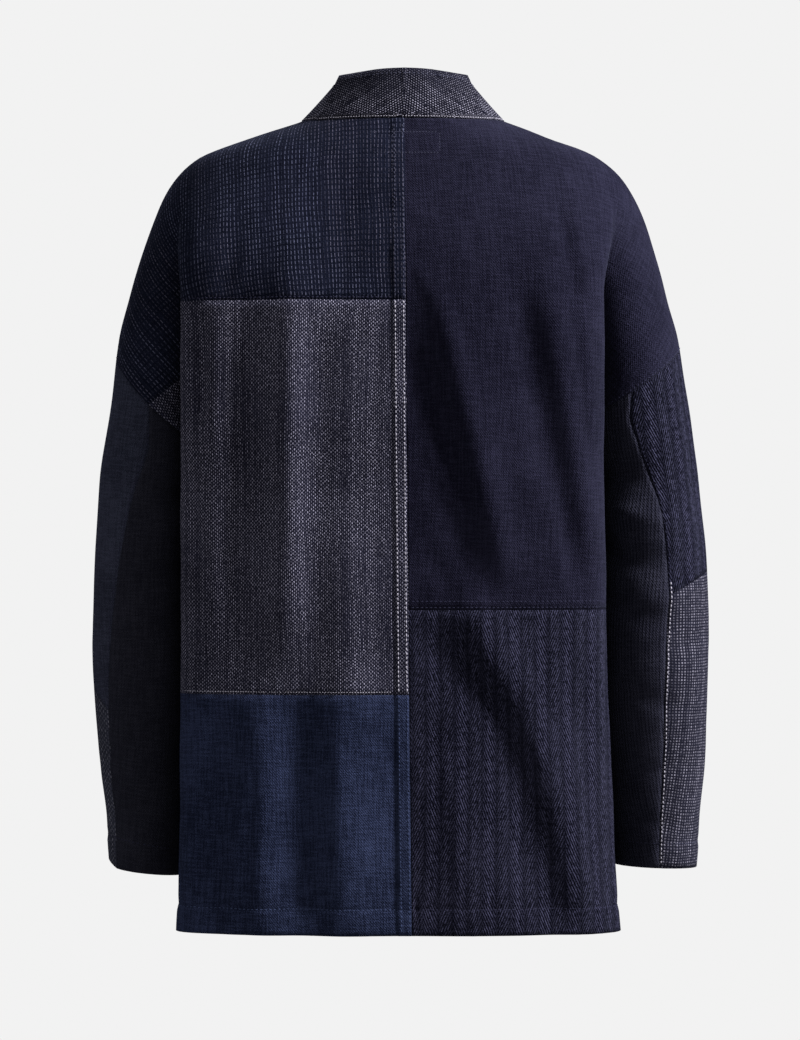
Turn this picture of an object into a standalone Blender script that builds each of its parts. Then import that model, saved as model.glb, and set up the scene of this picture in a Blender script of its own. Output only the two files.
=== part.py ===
"""Patched boro jacket in its worn, hollow form, cut as separate cloth panels.

Tables and sizes below are in millimetres and are turned into metres where a mesh is made.
The front faces -Y, the wearer's left is +X, and the origin is the centre of the neck at the
height of the nape seam. Every panel is a wall round one shared middle surface, so that
neighbours meet edge to edge at their seams.
"""

from collections import namedtuple
import math

import bpy
import numpy as np

MM = 0.001

# Cloth and seams
CLOTH_WALL = 1.6
BAND_WALL = 3.2
SEAM_GAP = 0.3
BAND_TRIM = 0.3
SEAM_TRIM = 0.5 * SEAM_GAP
UNDERARM_TRIM = 1.4
LEAST_LEAN = 0.35
MERGE_STEPS = 50

# The centre back seam runs a little to the right on its way down
DRIFT_NAPE = 1.5
DRIFT_HEM = 7.0

# Named levels on the garment, as heights from the nape seam
NECK_POINT_RISE = 2.0
LEFT_YOKE_SEAM = -172.6
LEFT_LOWER_SEAM = -536.0
RIGHT_LOWER_SEAM = -458.0
HEM = -757.0
DROP_START = -60.0
UNDERARM = {1: -308.0, -1: -280.0}
SLEEVE_TOP = {1: -224.0, -1: -215.0}
CUFF_OUTER = {1: -698.0, -1: -706.0}
CUFF_INNER = {1: -713.0, -1: -703.0}
PATCH_LEVEL = {1: -532.0, -1: -424.0}

# Collar band and front edges
BAND_WIDTH = 48.0
FRONT_EDGE = 57.0
V_DEPTH = -215.0
V_CURVE = 1.35
BAND_STAND = math.radians(24)
BAND_STAND_FROM = -95.0
BAND_STAND_TO = -20.0
LEAN_NAPE = 0.14
LEAN_NECK = 0.68
LEAN_CURVE = 1.6
NECK_MIDDLE = 8.0
BAND_SMOOTHING = 14
NECK_FRONT = -30.0
NECK_BACK = 10.0

# Sections of the body
BACK_SQUARENESS = (0.9, 0.8)
FRONT_SQUARENESS = (0.95, 0.85)
BLEND_TOP = -48.0
BLEND_END = -165.0
CREASE_BACK = 80.0
CREASE_FRONT = 72.0
CREASE_FLARE = 17.0
CREASE_CURVE = 0.8
FOLD_ANGLE_TOP = math.radians(52)
FOLD_ANGLE_LOW = math.radians(61)
FOLD_ANGLE_END = -90.0
FRONT_FOLD_STEP = 5.0
CREASE_ANGLE = math.radians(5)
CENTRE_DIP_WIDTH = 55.0
SIDE_HOLLOW = 8.0
SIDE_BULGE = 6.0
SIDE_TURN = 0.55
SIDE_BULGE_LEVEL = -520.0
FOLD_DROP = 40.0

# Where folds fade: along their length, and across the panel near its fold edge
FADE_IN = (-0.12, 0.22)
FADE_OUT = (0.78, 1.12)
FADE_EDGE = (0.86, 1.05)

# Top of the sleeve: how far down its seams and its folds settle, as shares of its length
SEAM_SETTLE = 0.12
FOLD_SETTLE = 0.15
LEAST_END_ANGLE = 0.1

# Divisions of the mesh
COLUMNS_PANEL = 9
COLUMNS_FOLD = 3
COLUMNS_ARM = 8
ROWS_YOKE = 7
ROWS_ARMHOLE = 4
ROWS_BODY = 13
ROWS_SLEEVE = 13
BAND_STRIPS = 2
ROW_SPREAD = 1.25
HALVINGS = 40

# Half widths of the whole outline, arms included, seen from behind
Outline = namedtuple("Outline", "height left right")
OUTLINE = [
    Outline(2, 96, 94),
    Outline(-14, 144, 137),
    Outline(-33, 195, 184),
    Outline(-52, 216, 206),
    Outline(-71, 228, 218),
    Outline(-90, 236, 226),
    Outline(-128, 249, 238.5),
    Outline(-166, 260, 249),
    Outline(-204, 270, 259.5),
    Outline(-261, 276.5, 268),
    Outline(-337, 288, 279),
    Outline(-432, 293.5, 287),
    Outline(-489, 294.5, 288),
    Outline(-584, 291, 287),
    Outline(-660, 283, 281),
    Outline(-715, 280, 278),
]

# Torso: depth at the centre back, over the shoulder blades and at the front, and the two
# upright fold edges of the back panel with the side seams that lie in front of them
Torso = namedtuple("Torso", "height centre blade front fold_left fold_right fold_y side_left side_right")
TORSO = [
    Torso(2, 66, 66, 58, 207, 185, 82, 190, 172),
    Torso(-14, 73, 73, 62, 207, 185, 82, 190, 172),
    Torso(-33, 82, 82, 68, 207, 185, 82, 190, 172),
    Torso(-52, 91, 92, 75, 207, 185, 82, 190, 172),
    Torso(-90, 104, 107, 90, 207, 185, 82, 190, 172),
    Torso(-128, 112, 117, 106, 207, 185, 82, 190, 172),
    Torso(-190, 118, 124, 121, 207, 185, 80, 190, 172),
    Torso(-280, 119, 124, 130, 207.5, 185.5, 74, 190, 172),
    Torso(-308, 118, 122, 131, 207.5, 185.5, 71, 190, 169.5),
    Torso(-345, 117, 120, 132, 207.5, 186, 69, 185.5, 168),
    Torso(-450, 115, 117, 133, 207.5, 187.5, 67, 184.5, 169),
    Torso(-540, 114, 116, 132, 207.5, 190, 66, 185, 171),
    Torso(-640, 117, 119, 131, 208.5, 194, 66, 189, 178),
    Torso(-757, 121, 124, 130, 211, 200.5, 66, 198, 189),
]

# Sleeves: middle depth, half depth and inner line; above the underarm the inner line is
# the one that the arm would have inside the body
Arm = namedtuple("Arm", "height centre half_depth inner_left inner_right")
ARM = [
    Arm(2, 5, 50, 90, 86),
    Arm(-52, 5, 50, 124, 114),
    Arm(-90, 3, 52, 144, 134),
    Arm(-166, 2, 55, 168, 157),
    Arm(-230, 1, 57, 181, 168),
    Arm(-280, 0, 57, 187, 172),
    Arm(-308, 0, 57, 190, 177),
    Arm(-345, 1, 57, 197, 181),
    Arm(-400, 4, 56, 199.5, 183),
    Arm(-500, 2, 54, 199.5, 184),
    Arm(-600, -12, 50, 203, 190),
    Arm(-715, -32, 45, 209, 204),
]

# Angle round the sleeve of its back seam and its front seam, from the outermost line
SleeveSeam = namedtuple("SleeveSeam", "height left right left_front right_front")
SLEEVE_SEAMS = [
    SleeveSeam(-215, 92, 105, 100, 96),
    SleeveSeam(-310, 88, 97, 92, 92),
    SleeveSeam(-364, 75, 82, 86, 88),
    SleeveSeam(-430, 63, 77, 80, 82),
    SleeveSeam(-530, 50, 82, 74, 80),
    SleeveSeam(-625, 44, 85, 72, 82),
    SleeveSeam(-715, 42, 90, 72, 84),
]

# Large folds: the ends of each centre line, its half width and its height, minus a trough
Fold = namedtuple("Fold", "x_top top x_low low half_width rise")
BACK_FOLDS = [
    Fold(103, -150, 112, -520, 20, 7.0),
    Fold(147, -170, 155, -510, 16, -6.0),
    Fold(178, -190, 177, -480, 12, 4.0),
    Fold(58, -360, 56, -757, 24, 7.0),
    Fold(80, -200, 84, -380, 16, -3.0),
    Fold(98, -545, 98, -757, 17, -7.0),
    Fold(136, -530, 138, -757, 18, 6.0),
    Fold(174, -540, 171, -757, 15, -4.0),
    Fold(-26, -150, -95, -430, 17, 6.5),
    Fold(-2, -210, -64, -430, 14, -4.0),
    Fold(-102, -150, -157, -440, 16, -5.5),
    Fold(-130, -150, -181, -430, 14, 5.0),
    Fold(-47, -440, -124, -560, 19, 6.5),
    Fold(-15, -480, -90, -560, 17, -5.0),
    Fold(-116, -540, -172, -757, 20, 7.5),
    Fold(-86, -545, -136, -757, 19, -6.5),
    Fold(-30, -590, -52, -757, 20, 4.5),
]
FRONT_FOLDS = [
    Fold(150, -150, 120, -420, 20, -6.0),
    Fold(100, -260, 95, -620, 22, 5.0),
    Fold(150, -430, 145, -757, 18, -6.0),
    Fold(-148, -160, -112, -400, 20, -6.0),
    Fold(-98, -300, -102, -680, 22, 5.0),
    Fold(-148, -470, -140, -757, 18, -6.0),
]

# Sleeve folds run round the arm: where each is deepest, and how far it reaches
Wrinkle = namedtuple("Wrinkle", "side angle height half_angle half_height slant depth")
WRINKLES = [
    Wrinkle(1, 150, -345, 45, 12, 0.35, 5.0),
    Wrinkle(1, 175, -410, 60, 12, 0.20, 5.0),
    Wrinkle(1, 120, -470, 50, 14, 0.30, 3.5),
    Wrinkle(-1, 150, -330, 40, 16, -0.30, 6.0),
    Wrinkle(-1, 170, -395, 60, 12, 0.25, 5.0),
    Wrinkle(-1, 125, -455, 55, 14, 0.35, 4.0),
    Wrinkle(1, -130, -400, 60, 13, 0.30, 6.0),
    Wrinkle(1, -110, -450, 60, 13, 0.25, 5.5),
    Wrinkle(-1, -130, -390, 60, 13, 0.30, 6.0),
    Wrinkle(-1, -105, -445, 60, 13, 0.25, 5.5),
]

# Colour, roughness of each panel's cloth
PANEL_FINISH = {
    "back_left_upper": ((0.012, 0.020, 0.045), 0.9),
    "back_left_middle": ((0.045, 0.048, 0.065), 0.92),
    "back_left_lower": ((0.010, 0.032, 0.085), 0.88),
    "back_right_upper": ((0.008, 0.010, 0.028), 0.88),
    "back_right_lower": ((0.010, 0.012, 0.028), 0.9),
    "front_left": ((0.012, 0.020, 0.045), 0.9),
    "front_right": ((0.008, 0.010, 0.028), 0.88),
    "sleeve_left_outer_upper": ((0.009, 0.013, 0.028), 0.9),
    "sleeve_left_outer_lower": ((0.020, 0.023, 0.036), 0.9),
    "sleeve_left_inner": ((0.006, 0.008, 0.014), 0.92),
    "sleeve_right_outer_upper": ((0.011, 0.013, 0.027), 0.9),
    "sleeve_right_outer_lower": ((0.050, 0.052, 0.068), 0.92),
    "sleeve_right_inner": ((0.007, 0.008, 0.015), 0.92),
    "collar_band": ((0.040, 0.042, 0.052), 0.92),
}


def remove_everything():
    for item in list(bpy.data.objects):
        bpy.data.objects.remove(item, do_unlink=True)


def column(table, name):
    """A smooth curve through one named column of a table, against its first column."""
    rows = sorted(table, key=lambda row: row.height)
    at = np.array([row.height for row in rows], float)
    value = np.array([getattr(row, name) for row in rows], float)
    step = np.diff(at)
    slope = np.diff(value) / step
    product = slope[1:] * slope[:-1]
    total = np.where(product > 0, slope[1:] + slope[:-1], 1.0)
    inner = np.where(product > 0, 2.0 * product / total, 0.0)
    tangent = np.concatenate([slope[:1], inner, slope[-1:]])

    def read(height):
        h = np.clip(height, at[0], at[-1])
        i = np.clip(np.searchsorted(at, h) - 1, 0, len(step) - 1)
        s = (h - at[i]) / step[i]
        rise = value[i + 1] - value[i]
        start = tangent[i] * step[i]
        end = tangent[i + 1] * step[i]
        return value[i] + start * s + (3 * rise - 2 * start - end) * s**2 + (start + end - 2 * rise) * s**3

    return read


def smooth(low, high, value):
    s = np.clip((value - low) / (high - low), 0.0, 1.0)
    return s * s * (3.0 - 2.0 * s)


def mix(first, second, share):
    return first * (1.0 - share) + second * share


SIDE_NAME = {1: "left", -1: "right"}
OUTER = {side: column(OUTLINE, name) for side, name in SIDE_NAME.items()}
FOLD_X = {side: column(TORSO, "fold_" + name) for side, name in SIDE_NAME.items()}
SIDE_X = {side: column(TORSO, "side_" + name) for side, name in SIDE_NAME.items()}
INNER = {side: column(ARM, "inner_" + name) for side, name in SIDE_NAME.items()}
SEAM_BACK = {side: column(SLEEVE_SEAMS, name) for side, name in SIDE_NAME.items()}
SEAM_FRONT = {side: column(SLEEVE_SEAMS, name + "_front") for side, name in SIDE_NAME.items()}
CENTRE_DEPTH = column(TORSO, "centre")
BLADE_DEPTH = column(TORSO, "blade")
FRONT_DEPTH = column(TORSO, "front")
FOLD_Y = column(TORSO, "fold_y")
ARM_MIDDLE = column(ARM, "centre")
ARM_HALF = column(ARM, "half_depth")


def crease(side, face, height):
    """Bottom of the armhole crease, which becomes the side seam below the underarm."""
    s = np.clip((height - UNDERARM[side]) / (DROP_START - UNDERARM[side]), 0.0, 1.0)
    depth = CREASE_BACK if face > 0 else CREASE_FRONT
    return SIDE_X[side](height) + CREASE_FLARE * s**2, face * depth * s**CREASE_CURVE


def arm_point(side, face, angle, height, hold=None):
    """A point round the arm, by its angle from the outermost line; hold is the line it ends on."""
    outer = OUTER[side](height)
    inner = INNER[side](height)
    half_width = 0.5 * (outer - inner)
    middle_x = 0.5 * (outer + inner)
    middle_y = ARM_MIDDLE(height)
    half_depth = ARM_HALF(height)
    reach = 1.0
    if hold is not None:
        across = (hold[0] - middle_x) / half_width
        along = face * (hold[1] - middle_y) / half_depth
        end = np.arctan2(along, across)
        end = np.where(end < LEAST_END_ANGLE, np.pi, end)
        reach = 1.0 + (np.hypot(across, along) - 1.0) * angle**3
        angle = angle * end
    x = middle_x + reach * half_width * np.cos(angle)
    y = middle_y + face * reach * half_depth * np.sin(angle)
    return x, y


def drape(x, height, table):
    """Summed height of the large folds at a place on a panel."""
    total = np.zeros(np.broadcast(x, height).shape)
    for fold in table:
        run = np.array([fold.x_low - fold.x_top, fold.low - fold.top], float)
        length = np.hypot(*run)
        along = ((x - fold.x_top) * run[0] + (height - fold.top) * run[1]) / length**2
        off = ((x - fold.x_top) * run[1] - (height - fold.top) * run[0]) / length
        fade = smooth(*FADE_IN, along) * (1.0 - smooth(*FADE_OUT, along))
        total = total + fold.rise * fade * np.exp(-((off / fold.half_width) ** 2))
    return total


def centre_seam(height):
    """How far to the side the centre back seam is at a height."""
    share = np.clip(-height, 0.0, -HEM) / -HEM
    return -share**0.5 * mix(DRIFT_NAPE, DRIFT_HEM, share)


def body_point(side, face, across, height):
    """Middle surface of the body. across is 0 at the centre, 1 on the armhole fold,
    2 in the crease or on the side seam, and 3 on the arm's outermost line."""
    across = np.asarray(across, float)
    height = np.asarray(height, float)
    outer = OUTER[side](height)
    ridge = ARM_MIDDLE(height)
    centre = CENTRE_DEPTH(height) if face > 0 else FRONT_DEPTH(height)
    blade = BLADE_DEPTH(height) if face > 0 else FRONT_DEPTH(height)

    fold_angle = mix(FOLD_ANGLE_TOP, FOLD_ANGLE_LOW, smooth(NECK_POINT_RISE, FOLD_ANGLE_END, height))
    crease_angle = fold_angle + CREASE_ANGLE
    part = np.clip(across, 0, 1) * fold_angle
    part = part + np.clip(across - 1, 0, 1) * CREASE_ANGLE
    part = part + np.clip(across - 2, 0, 1) * (0.5 * np.pi - crease_angle)
    top_x = outer * np.sin(part)
    top_y = ridge + face * (centre - face * ridge) * np.cos(part)

    power_x, power_y = BACK_SQUARENESS if face > 0 else FRONT_SQUARENESS
    fold_x = FOLD_X[side](height) - (0.0 if face > 0 else FRONT_FOLD_STEP)
    fold_y = FOLD_Y(height)
    turn = np.clip(across, 0, 1) * 0.5 * np.pi
    panel_x = fold_x * np.sin(turn) ** power_x
    panel_y = fold_y + (blade - fold_y) * np.cos(turn).clip(0.0) ** power_y
    panel_y = panel_y - (blade - centre) * np.exp(-((panel_x / CENTRE_DIP_WIDTH) ** 2))
    panel_y = face * panel_y
    crease_x, crease_y = crease(side, face, height)
    s = np.clip(across - 1, 0, 1)
    hollow = smooth(SIDE_BULGE_LEVEL, UNDERARM[side], height)
    bend_x = crease_x + mix(SIDE_BULGE, -SIDE_HOLLOW, hollow)
    bend_y = mix(crease_y, face * fold_y, SIDE_TURN)
    side_x = (1 - s) ** 2 * fold_x + 2 * s * (1 - s) * bend_x + s**2 * crease_x
    side_y = (1 - s) ** 2 * face * fold_y + 2 * s * (1 - s) * bend_y + s**2 * crease_y
    arm_x, arm_y = arm_point(side, face, 3.0 - np.clip(across, 2, 3), height, (crease_x, crease_y))
    low_x = np.where(across <= 1, panel_x, np.where(across <= 2, side_x, arm_x))
    low_y = np.where(across <= 1, panel_y, np.where(across <= 2, side_y, arm_y))

    share = smooth(BLEND_TOP, BLEND_END, height)
    x = mix(top_x, low_x, share)
    y = mix(top_y, low_y, share)
    folds = drape(side * x, height, BACK_FOLDS if face > 0 else FRONT_FOLDS)
    calm = 1.0 - smooth(*FADE_EDGE, across)
    y = y + face * folds * calm
    x = side * x
    if face > 0:
        x = x + centre_seam(height) * (1.0 - np.clip(across, 0, 1)) ** 2
    return np.stack(np.broadcast_arrays(x, y, height), -1)


def armhole_height(side, share):
    """Height of the dropped sleeve seam, from the underarm, share 0, to the outermost line."""
    return mix(UNDERARM[side], SLEEVE_TOP[side], 0.5 - 0.5 * np.cos(np.pi * share))


def front_edge(side, height):
    """Half distance between the two front panels, which narrows down the V of the neck."""
    s = np.clip((height - NECK_POINT_RISE) / (V_DEPTH - NECK_POINT_RISE), 0.0, 1.0)
    neck = OUTER[side](NECK_POINT_RISE)
    return FRONT_EDGE + (neck - FRONT_EDGE) * (1.0 - s) ** V_CURVE


def stations(side):
    """Places of the mesh's columns across one half of the body."""
    seam = 3.0 - SEAM_BACK[side](SLEEVE_TOP[side]) / 180.0
    return np.concatenate([
        np.linspace(0, 1, COLUMNS_PANEL + 1)[:-1],
        np.linspace(1, 2, COLUMNS_FOLD + 1)[:-1],
        np.linspace(2, seam, COLUMNS_ARM // 2 + 1)[:-1],
        np.linspace(seam, 3, COLUMNS_ARM // 2 + 1),
    ])


def armhole_rows(side):
    """Fractions of the way from the neck to the underarm, with a row on the yoke seam."""
    yoke = LEFT_YOKE_SEAM / UNDERARM[side]
    upper = yoke * np.linspace(0, 1, ROWS_YOKE + 1) ** ROW_SPREAD
    return np.concatenate([upper[:-1], np.linspace(yoke, 1, ROWS_ARMHOLE + 1)])


def lower_rows(side):
    """Heights from the underarm to the hem, with a row on the seam of the lower patch."""
    seam = LEFT_LOWER_SEAM if side > 0 else RIGHT_LOWER_SEAM
    share = (seam - UNDERARM[side]) / (HEM - UNDERARM[side])
    above = max(1, round(ROWS_BODY * share))
    first = np.linspace(UNDERARM[side], seam, above + 1)
    last = np.linspace(seam, HEM, ROWS_BODY - above + 1)
    return np.concatenate([first, last[1:]]), above


def front_top(side, across):
    """Height at which a column of the front panel meets the neck's edge, by halving."""
    low = np.full(len(across), V_DEPTH)
    high = np.full(len(across), NECK_POINT_RISE)
    for _ in range(HALVINGS):
        middle = 0.5 * (low + high)
        x = side * body_point(side, -1, across, middle)[:, 0]
        inside = x > front_edge(side, middle)
        low = np.where(inside, middle, low)
        high = np.where(inside, high, middle)
    return 0.5 * (low + high)


class Garment:
    """Middle surface of the whole jacket as one welded mesh with a panel name on each face."""

    def __init__(self):
        self.points = []
        self.found = {}
        self.faces = []
        self.panels = []
        self.underarms = [self.point(body_point(side, 1, 2.0, UNDERARM[side])) for side in (1, -1)]
        self.centre = set()

    def point(self, place):
        key = tuple(int(round(value * MERGE_STEPS)) for value in place)
        if key not in self.found:
            self.found[key] = len(self.points)
            self.points.append(np.array(place, float))
        return self.found[key]

    def grid(self, places, panel, flip, split=None):
        """Adds a grid of places. panel(row, column) names a cell; split(row, column) is true
        where a cell is cut along its diagonal, its upper half then taking the name above."""
        index = [[self.point(p) for p in row] for row in places]
        for r in range(len(index) - 1):
            for c in range(len(index[0]) - 1):
                a, b = index[r][c], index[r][c + 1]
                d, e = index[r + 1][c], index[r + 1][c + 1]
                if split and split(r, c):
                    self.face((a, b, e), panel(r - 1, c), flip)
                    self.face((a, e, d), panel(r + 1, c - 1), flip)
                else:
                    self.face((a, b, e, d), panel(r, c), flip)

    def face(self, corners, name, flip):
        kept = []
        for corner in corners:
            if corner not in kept:
                kept.append(corner)
        if len(kept) < 3:
            return
        self.faces.append(tuple(reversed(kept)) if flip else tuple(kept))
        self.panels.append(name)


def back_panels(garment, side):
    across = stations(side)
    arm = np.clip(across - 2, 0, 1)
    share = armhole_rows(side)
    top = NECK_POINT_RISE * (across / 3.0) ** 2
    bottom = armhole_height(side, arm)
    drag = np.where(across > 1, smooth(1, 2, np.minimum(across, 2)) * (1 - arm), 0)
    heights = mix(top[None], bottom[None], share[:, None])
    heights = heights - FOLD_DROP * drag[None] * np.sin(np.pi * share[:, None]) ** 2
    upper = body_point(side, 1, np.broadcast_to(across, heights.shape), heights)
    fold_end = COLUMNS_PANEL + COLUMNS_FOLD

    def name_upper(row, col):
        if side < 0:
            return "back_right_upper"
        below = row - ROWS_YOKE - max(0, col - fold_end)
        return "back_left_middle" if below >= 0 else "back_left_upper"

    def split(row, col):
        stepped = row >= ROWS_YOKE and col >= fold_end
        return side > 0 and stepped and row - ROWS_YOKE == col - fold_end

    garment.grid(upper, name_upper, side < 0, split)

    levels, seam_row = lower_rows(side)
    torso = across[: fold_end + 1]
    columns, deep = np.meshgrid(torso, levels)
    lower = body_point(side, 1, columns, deep)

    def name_lower(row, col):
        if side > 0:
            return "back_left_middle" if row < seam_row else "back_left_lower"
        return "back_right_upper" if row < seam_row else "back_right_lower"

    garment.grid(lower, name_lower, side < 0)
    for place in [*upper[:, 0], *lower[:, 0]]:
        garment.centre.add(garment.point(place))
    return upper


def front_panels(garment, side):
    across = stations(side)
    fold_end = COLUMNS_PANEL + COLUMNS_FOLD
    first = edge_station(side)
    body = np.concatenate([
        np.linspace(first, 1, COLUMNS_PANEL)[:-1],
        across[COLUMNS_PANEL:],
    ])
    arm = np.clip(body - 2, 0, 1)
    share = armhole_rows(side)
    top = front_top(side, body)
    bottom = armhole_height(side, arm)
    heights = mix(top[None], bottom[None], share[:, None])
    place = np.broadcast_to(body, heights.shape)
    place = straight_edge(side, place, heights, body, first)
    upper = body_point(side, -1, place, heights)
    levels, _ = lower_rows(side)
    torso = body[:fold_end]
    columns, deep = np.meshgrid(torso, levels)
    lower = body_point(side, -1, straight_edge(side, columns, deep, torso, first), deep)
    panel = "front_left" if side > 0 else "front_right"
    garment.grid(upper, lambda row, col: panel, side > 0)
    garment.grid(lower, lambda row, col: panel, side > 0)
    return upper, lower


def edge_station(side):
    """Column station of the straight front edge below the V of the neck."""
    low, high = 0.0, 1.0
    for _ in range(HALVINGS):
        middle = 0.5 * (low + high)
        x = side * body_point(side, -1, np.array([middle]), np.array([V_DEPTH]))[0, 0]
        low, high = (middle, high) if x < FRONT_EDGE else (low, middle)
    return 0.5 * (low + high)


def straight_edge(side, place, heights, columns, first):
    """Slides the columns near the front so that the first keeps its distance from the centre."""
    edge = np.zeros(len(heights))
    for row, level in enumerate(heights[:, 0]):
        low, high = 0.0, 1.0
        want = front_edge(side, level)
        for _ in range(HALVINGS):
            middle = 0.5 * (low + high)
            x = side * body_point(side, -1, np.array([middle]), np.array([level]))[0, 0]
            low, high = (middle, high) if x < want else (low, middle)
        edge[row] = 0.5 * (low + high)
    nearness = np.clip((1 - columns) / (1 - first), 0, 1)
    return place + (edge[:, None] - first) * nearness[None]


def sleeve(garment, side):
    """A tube from the armhole to the cuff, whose columns follow the sleeve's two long seams."""
    quarter = COLUMNS_ARM // 2
    rows = np.linspace(0, 1, ROWS_SLEEVE + 1)
    split_row = patch_row(side)
    places = []
    seam_top = math.radians(float(SEAM_BACK[side](SLEEVE_TOP[side])))
    ring_back = [mix(np.pi, seam_top, k / quarter) for k in range(quarter)]
    ring_back += [seam_top * (1 - k / quarter) for k in range(quarter)]
    ring = ring_back + [0.0] + [-angle for angle in reversed(ring_back)]
    for row in rows:
        line = []
        for k, top_angle in enumerate(ring):
            share = 1.0 - abs(top_angle) / np.pi
            high = armhole_height(side, share)
            low = mix(CUFF_INNER[side], CUFF_OUTER[side], 0.5 - 0.5 * np.cos(np.pi * share))
            height = mix(high, low, row)
            line.append(sleeve_point(side, k, top_angle, height, row, quarter))
        places.append(line)
    names = SIDE_NAME[side]

    def panel(row, col):
        if quarter <= col < 3 * quarter:
            return f"sleeve_{names}_outer_" + ("upper" if row < split_row else "lower")
        return f"sleeve_{names}_inner"

    garment.grid(places, panel, side < 0)


def patch_row(side):
    """Row of the sleeve grid that the seam across the outer sleeve follows."""
    share = (PATCH_LEVEL[side] - SLEEVE_TOP[side]) / (CUFF_OUTER[side] - SLEEVE_TOP[side])
    return round(ROWS_SLEEVE * share)


def sleeve_point(side, k, top_angle, height, row, quarter):
    """A point of the sleeve: its columns slide so that two of them follow the sleeve's seams."""
    face = 1 if k <= 2 * quarter else -1
    seam_at = SEAM_BACK[side](height) if face > 0 else SEAM_FRONT[side](height)
    seam_top = SEAM_BACK[side](SLEEVE_TOP[side])
    seam_now = math.radians(float(mix(seam_top, seam_at, smooth(0.0, SEAM_SETTLE, row))))
    seam_top = math.radians(float(seam_top))
    size = abs(top_angle)
    if size <= seam_top:
        angle = size / seam_top * seam_now
    else:
        angle = np.pi - (np.pi - size) / (np.pi - seam_top) * (np.pi - seam_now)
    if height > UNDERARM[side]:
        hold = crease(side, face, np.float64(height))
        x, y = arm_point(side, face, angle / np.pi, np.float64(height), hold)
    else:
        x, y = arm_point(side, face, angle, np.float64(height))
    dent = wrinkle(side, face * math.degrees(angle), height) * smooth(0.0, FOLD_SETTLE, row)
    middle_x = 0.5 * (OUTER[side](height) + INNER[side](height))
    middle_y = ARM_MIDDLE(height)
    out = np.array([x - middle_x, y - middle_y])
    out = out * (1.0 - dent / np.hypot(*out))
    return np.array([side * (middle_x + out[0]), middle_y + out[1], height])


def wrinkle(side, angle, height):
    total = 0.0
    for fold in WRINKLES:
        if fold.side != side:
            continue
        off = (angle - fold.angle + 180.0) % 360.0 - 180.0
        level = fold.height + fold.slant * off
        near = math.exp(-((off / fold.half_angle) ** 2))
        total += fold.depth * near * math.exp(-(((height - level) / fold.half_height) ** 2))
    return total


def collar_band(garment, edges):
    """A band that starts on the neck and front edges and follows them with a constant width."""
    path, inside, stand = edges
    count = len(path)
    rows = []
    for k in range(count):
        before = path[max(k - 1, 0)]
        after = path[min(k + 1, count - 1)]
        tangent = after - before
        tangent = tangent / np.linalg.norm(tangent)
        away = path[k] - inside[k]
        away = away - tangent * away.dot(tangent)
        away = away / np.linalg.norm(away)
        up = np.cross(away, tangent)
        flat = away * math.cos(stand[k]) + up * math.sin(stand[k])
        rows.append(mix(flat, standing(path[k]), smooth(NECK_FRONT, NECK_BACK, path[k][1])))
    rows = np.array(rows)
    for _ in range(BAND_SMOOTHING):
        padded = np.concatenate([rows[:1], rows, rows[-1:]])
        rows = 0.25 * padded[:-2] + 0.5 * rows + 0.25 * padded[2:]
        rows = rows / np.linalg.norm(rows, axis=1, keepdims=True)
    places = [[path[k] + rows[k] * BAND_WIDTH * s / BAND_STRIPS for k in range(count)]
              for s in range(BAND_STRIPS + 1)]
    garment.grid(places, lambda row, col: "collar_band", False)


def standing(place):
    """Direction of the band where it stands up behind the neck and leans in over its sides."""
    centre = np.array([0.0, NECK_MIDDLE, place[2]])
    inward = centre - place
    inward = inward / np.linalg.norm(inward)
    share = abs(place[0]) / OUTER[1](NECK_POINT_RISE)
    lean = LEAN_NAPE + (LEAN_NECK - LEAN_NAPE) * share**LEAN_CURVE
    return inward * lean + np.array([0.0, 0.0, math.sqrt(1.0 - lean**2)])


def band_edges(backs, fronts):
    """The neck and front edges from the left hem, round the neck, to the right hem."""
    path, inside, stand = [], [], []
    for side in (1, -1):
        upper, lower = fronts[side]
        back = backs[side]
        pieces = [
            (lower[::-1, 0], lower[::-1, 1]),
            (upper[::-1, 0][1:], upper[::-1, 1][1:]),
            (upper[0, 1:], upper[1, following(upper)]),
            (back[0, ::-1][1:], back[1, ::-1][1:]),
        ]
        along = np.concatenate([piece[0] for piece in pieces])
        within = np.concatenate([piece[1] for piece in pieces])
        rise = BAND_STAND * smooth(BAND_STAND_FROM, BAND_STAND_TO, along[:, 1])
        if side < 0:
            along, within, rise = along[::-1][1:], within[::-1][1:], rise[::-1][1:]
        path.append(along)
        inside.append(within)
        stand.append(rise)
    return np.concatenate(path), np.concatenate(inside), np.concatenate(stand)


def following(upper):
    """Columns one further out than those of the neck's edge, so that each looks into the panel."""
    columns = np.arange(1, upper.shape[1])
    return np.minimum(columns + 1, upper.shape[1] - 1)


def face_normal(points, face):
    total = np.zeros(3)
    for k in range(len(face)):
        total += np.cross(points[face[k]], points[face[(k + 1) % len(face)]])
    return total


def corner_angle(points, face, k):
    before = points[face[k - 1]] - points[face[k]]
    after = points[face[(k + 1) % len(face)]] - points[face[k]]
    return math.acos(before.dot(after) / np.linalg.norm(before) / np.linalg.norm(after))


def vertex_normals(garment):
    """Mean direction of the faces round each point, by their angles there. Points of the centre back seam face
    straight back, and the underarm points straight down."""
    points = garment.points
    normals = np.zeros((len(points), 3))
    for face in garment.faces:
        normal = face_normal(points, face)
        normal = normal / np.linalg.norm(normal)
        for k, corner in enumerate(face):
            normals[corner] += normal * corner_angle(points, face, k)
    normals[sorted(garment.centre), 0] = 0.0
    for corner in garment.underarms:
        normals[corner] = (0.0, 0.0, -1.0)
    lengths = np.linalg.norm(normals, axis=1, keepdims=True)
    return normals / np.where(lengths > 0, lengths, 1.0)


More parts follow.
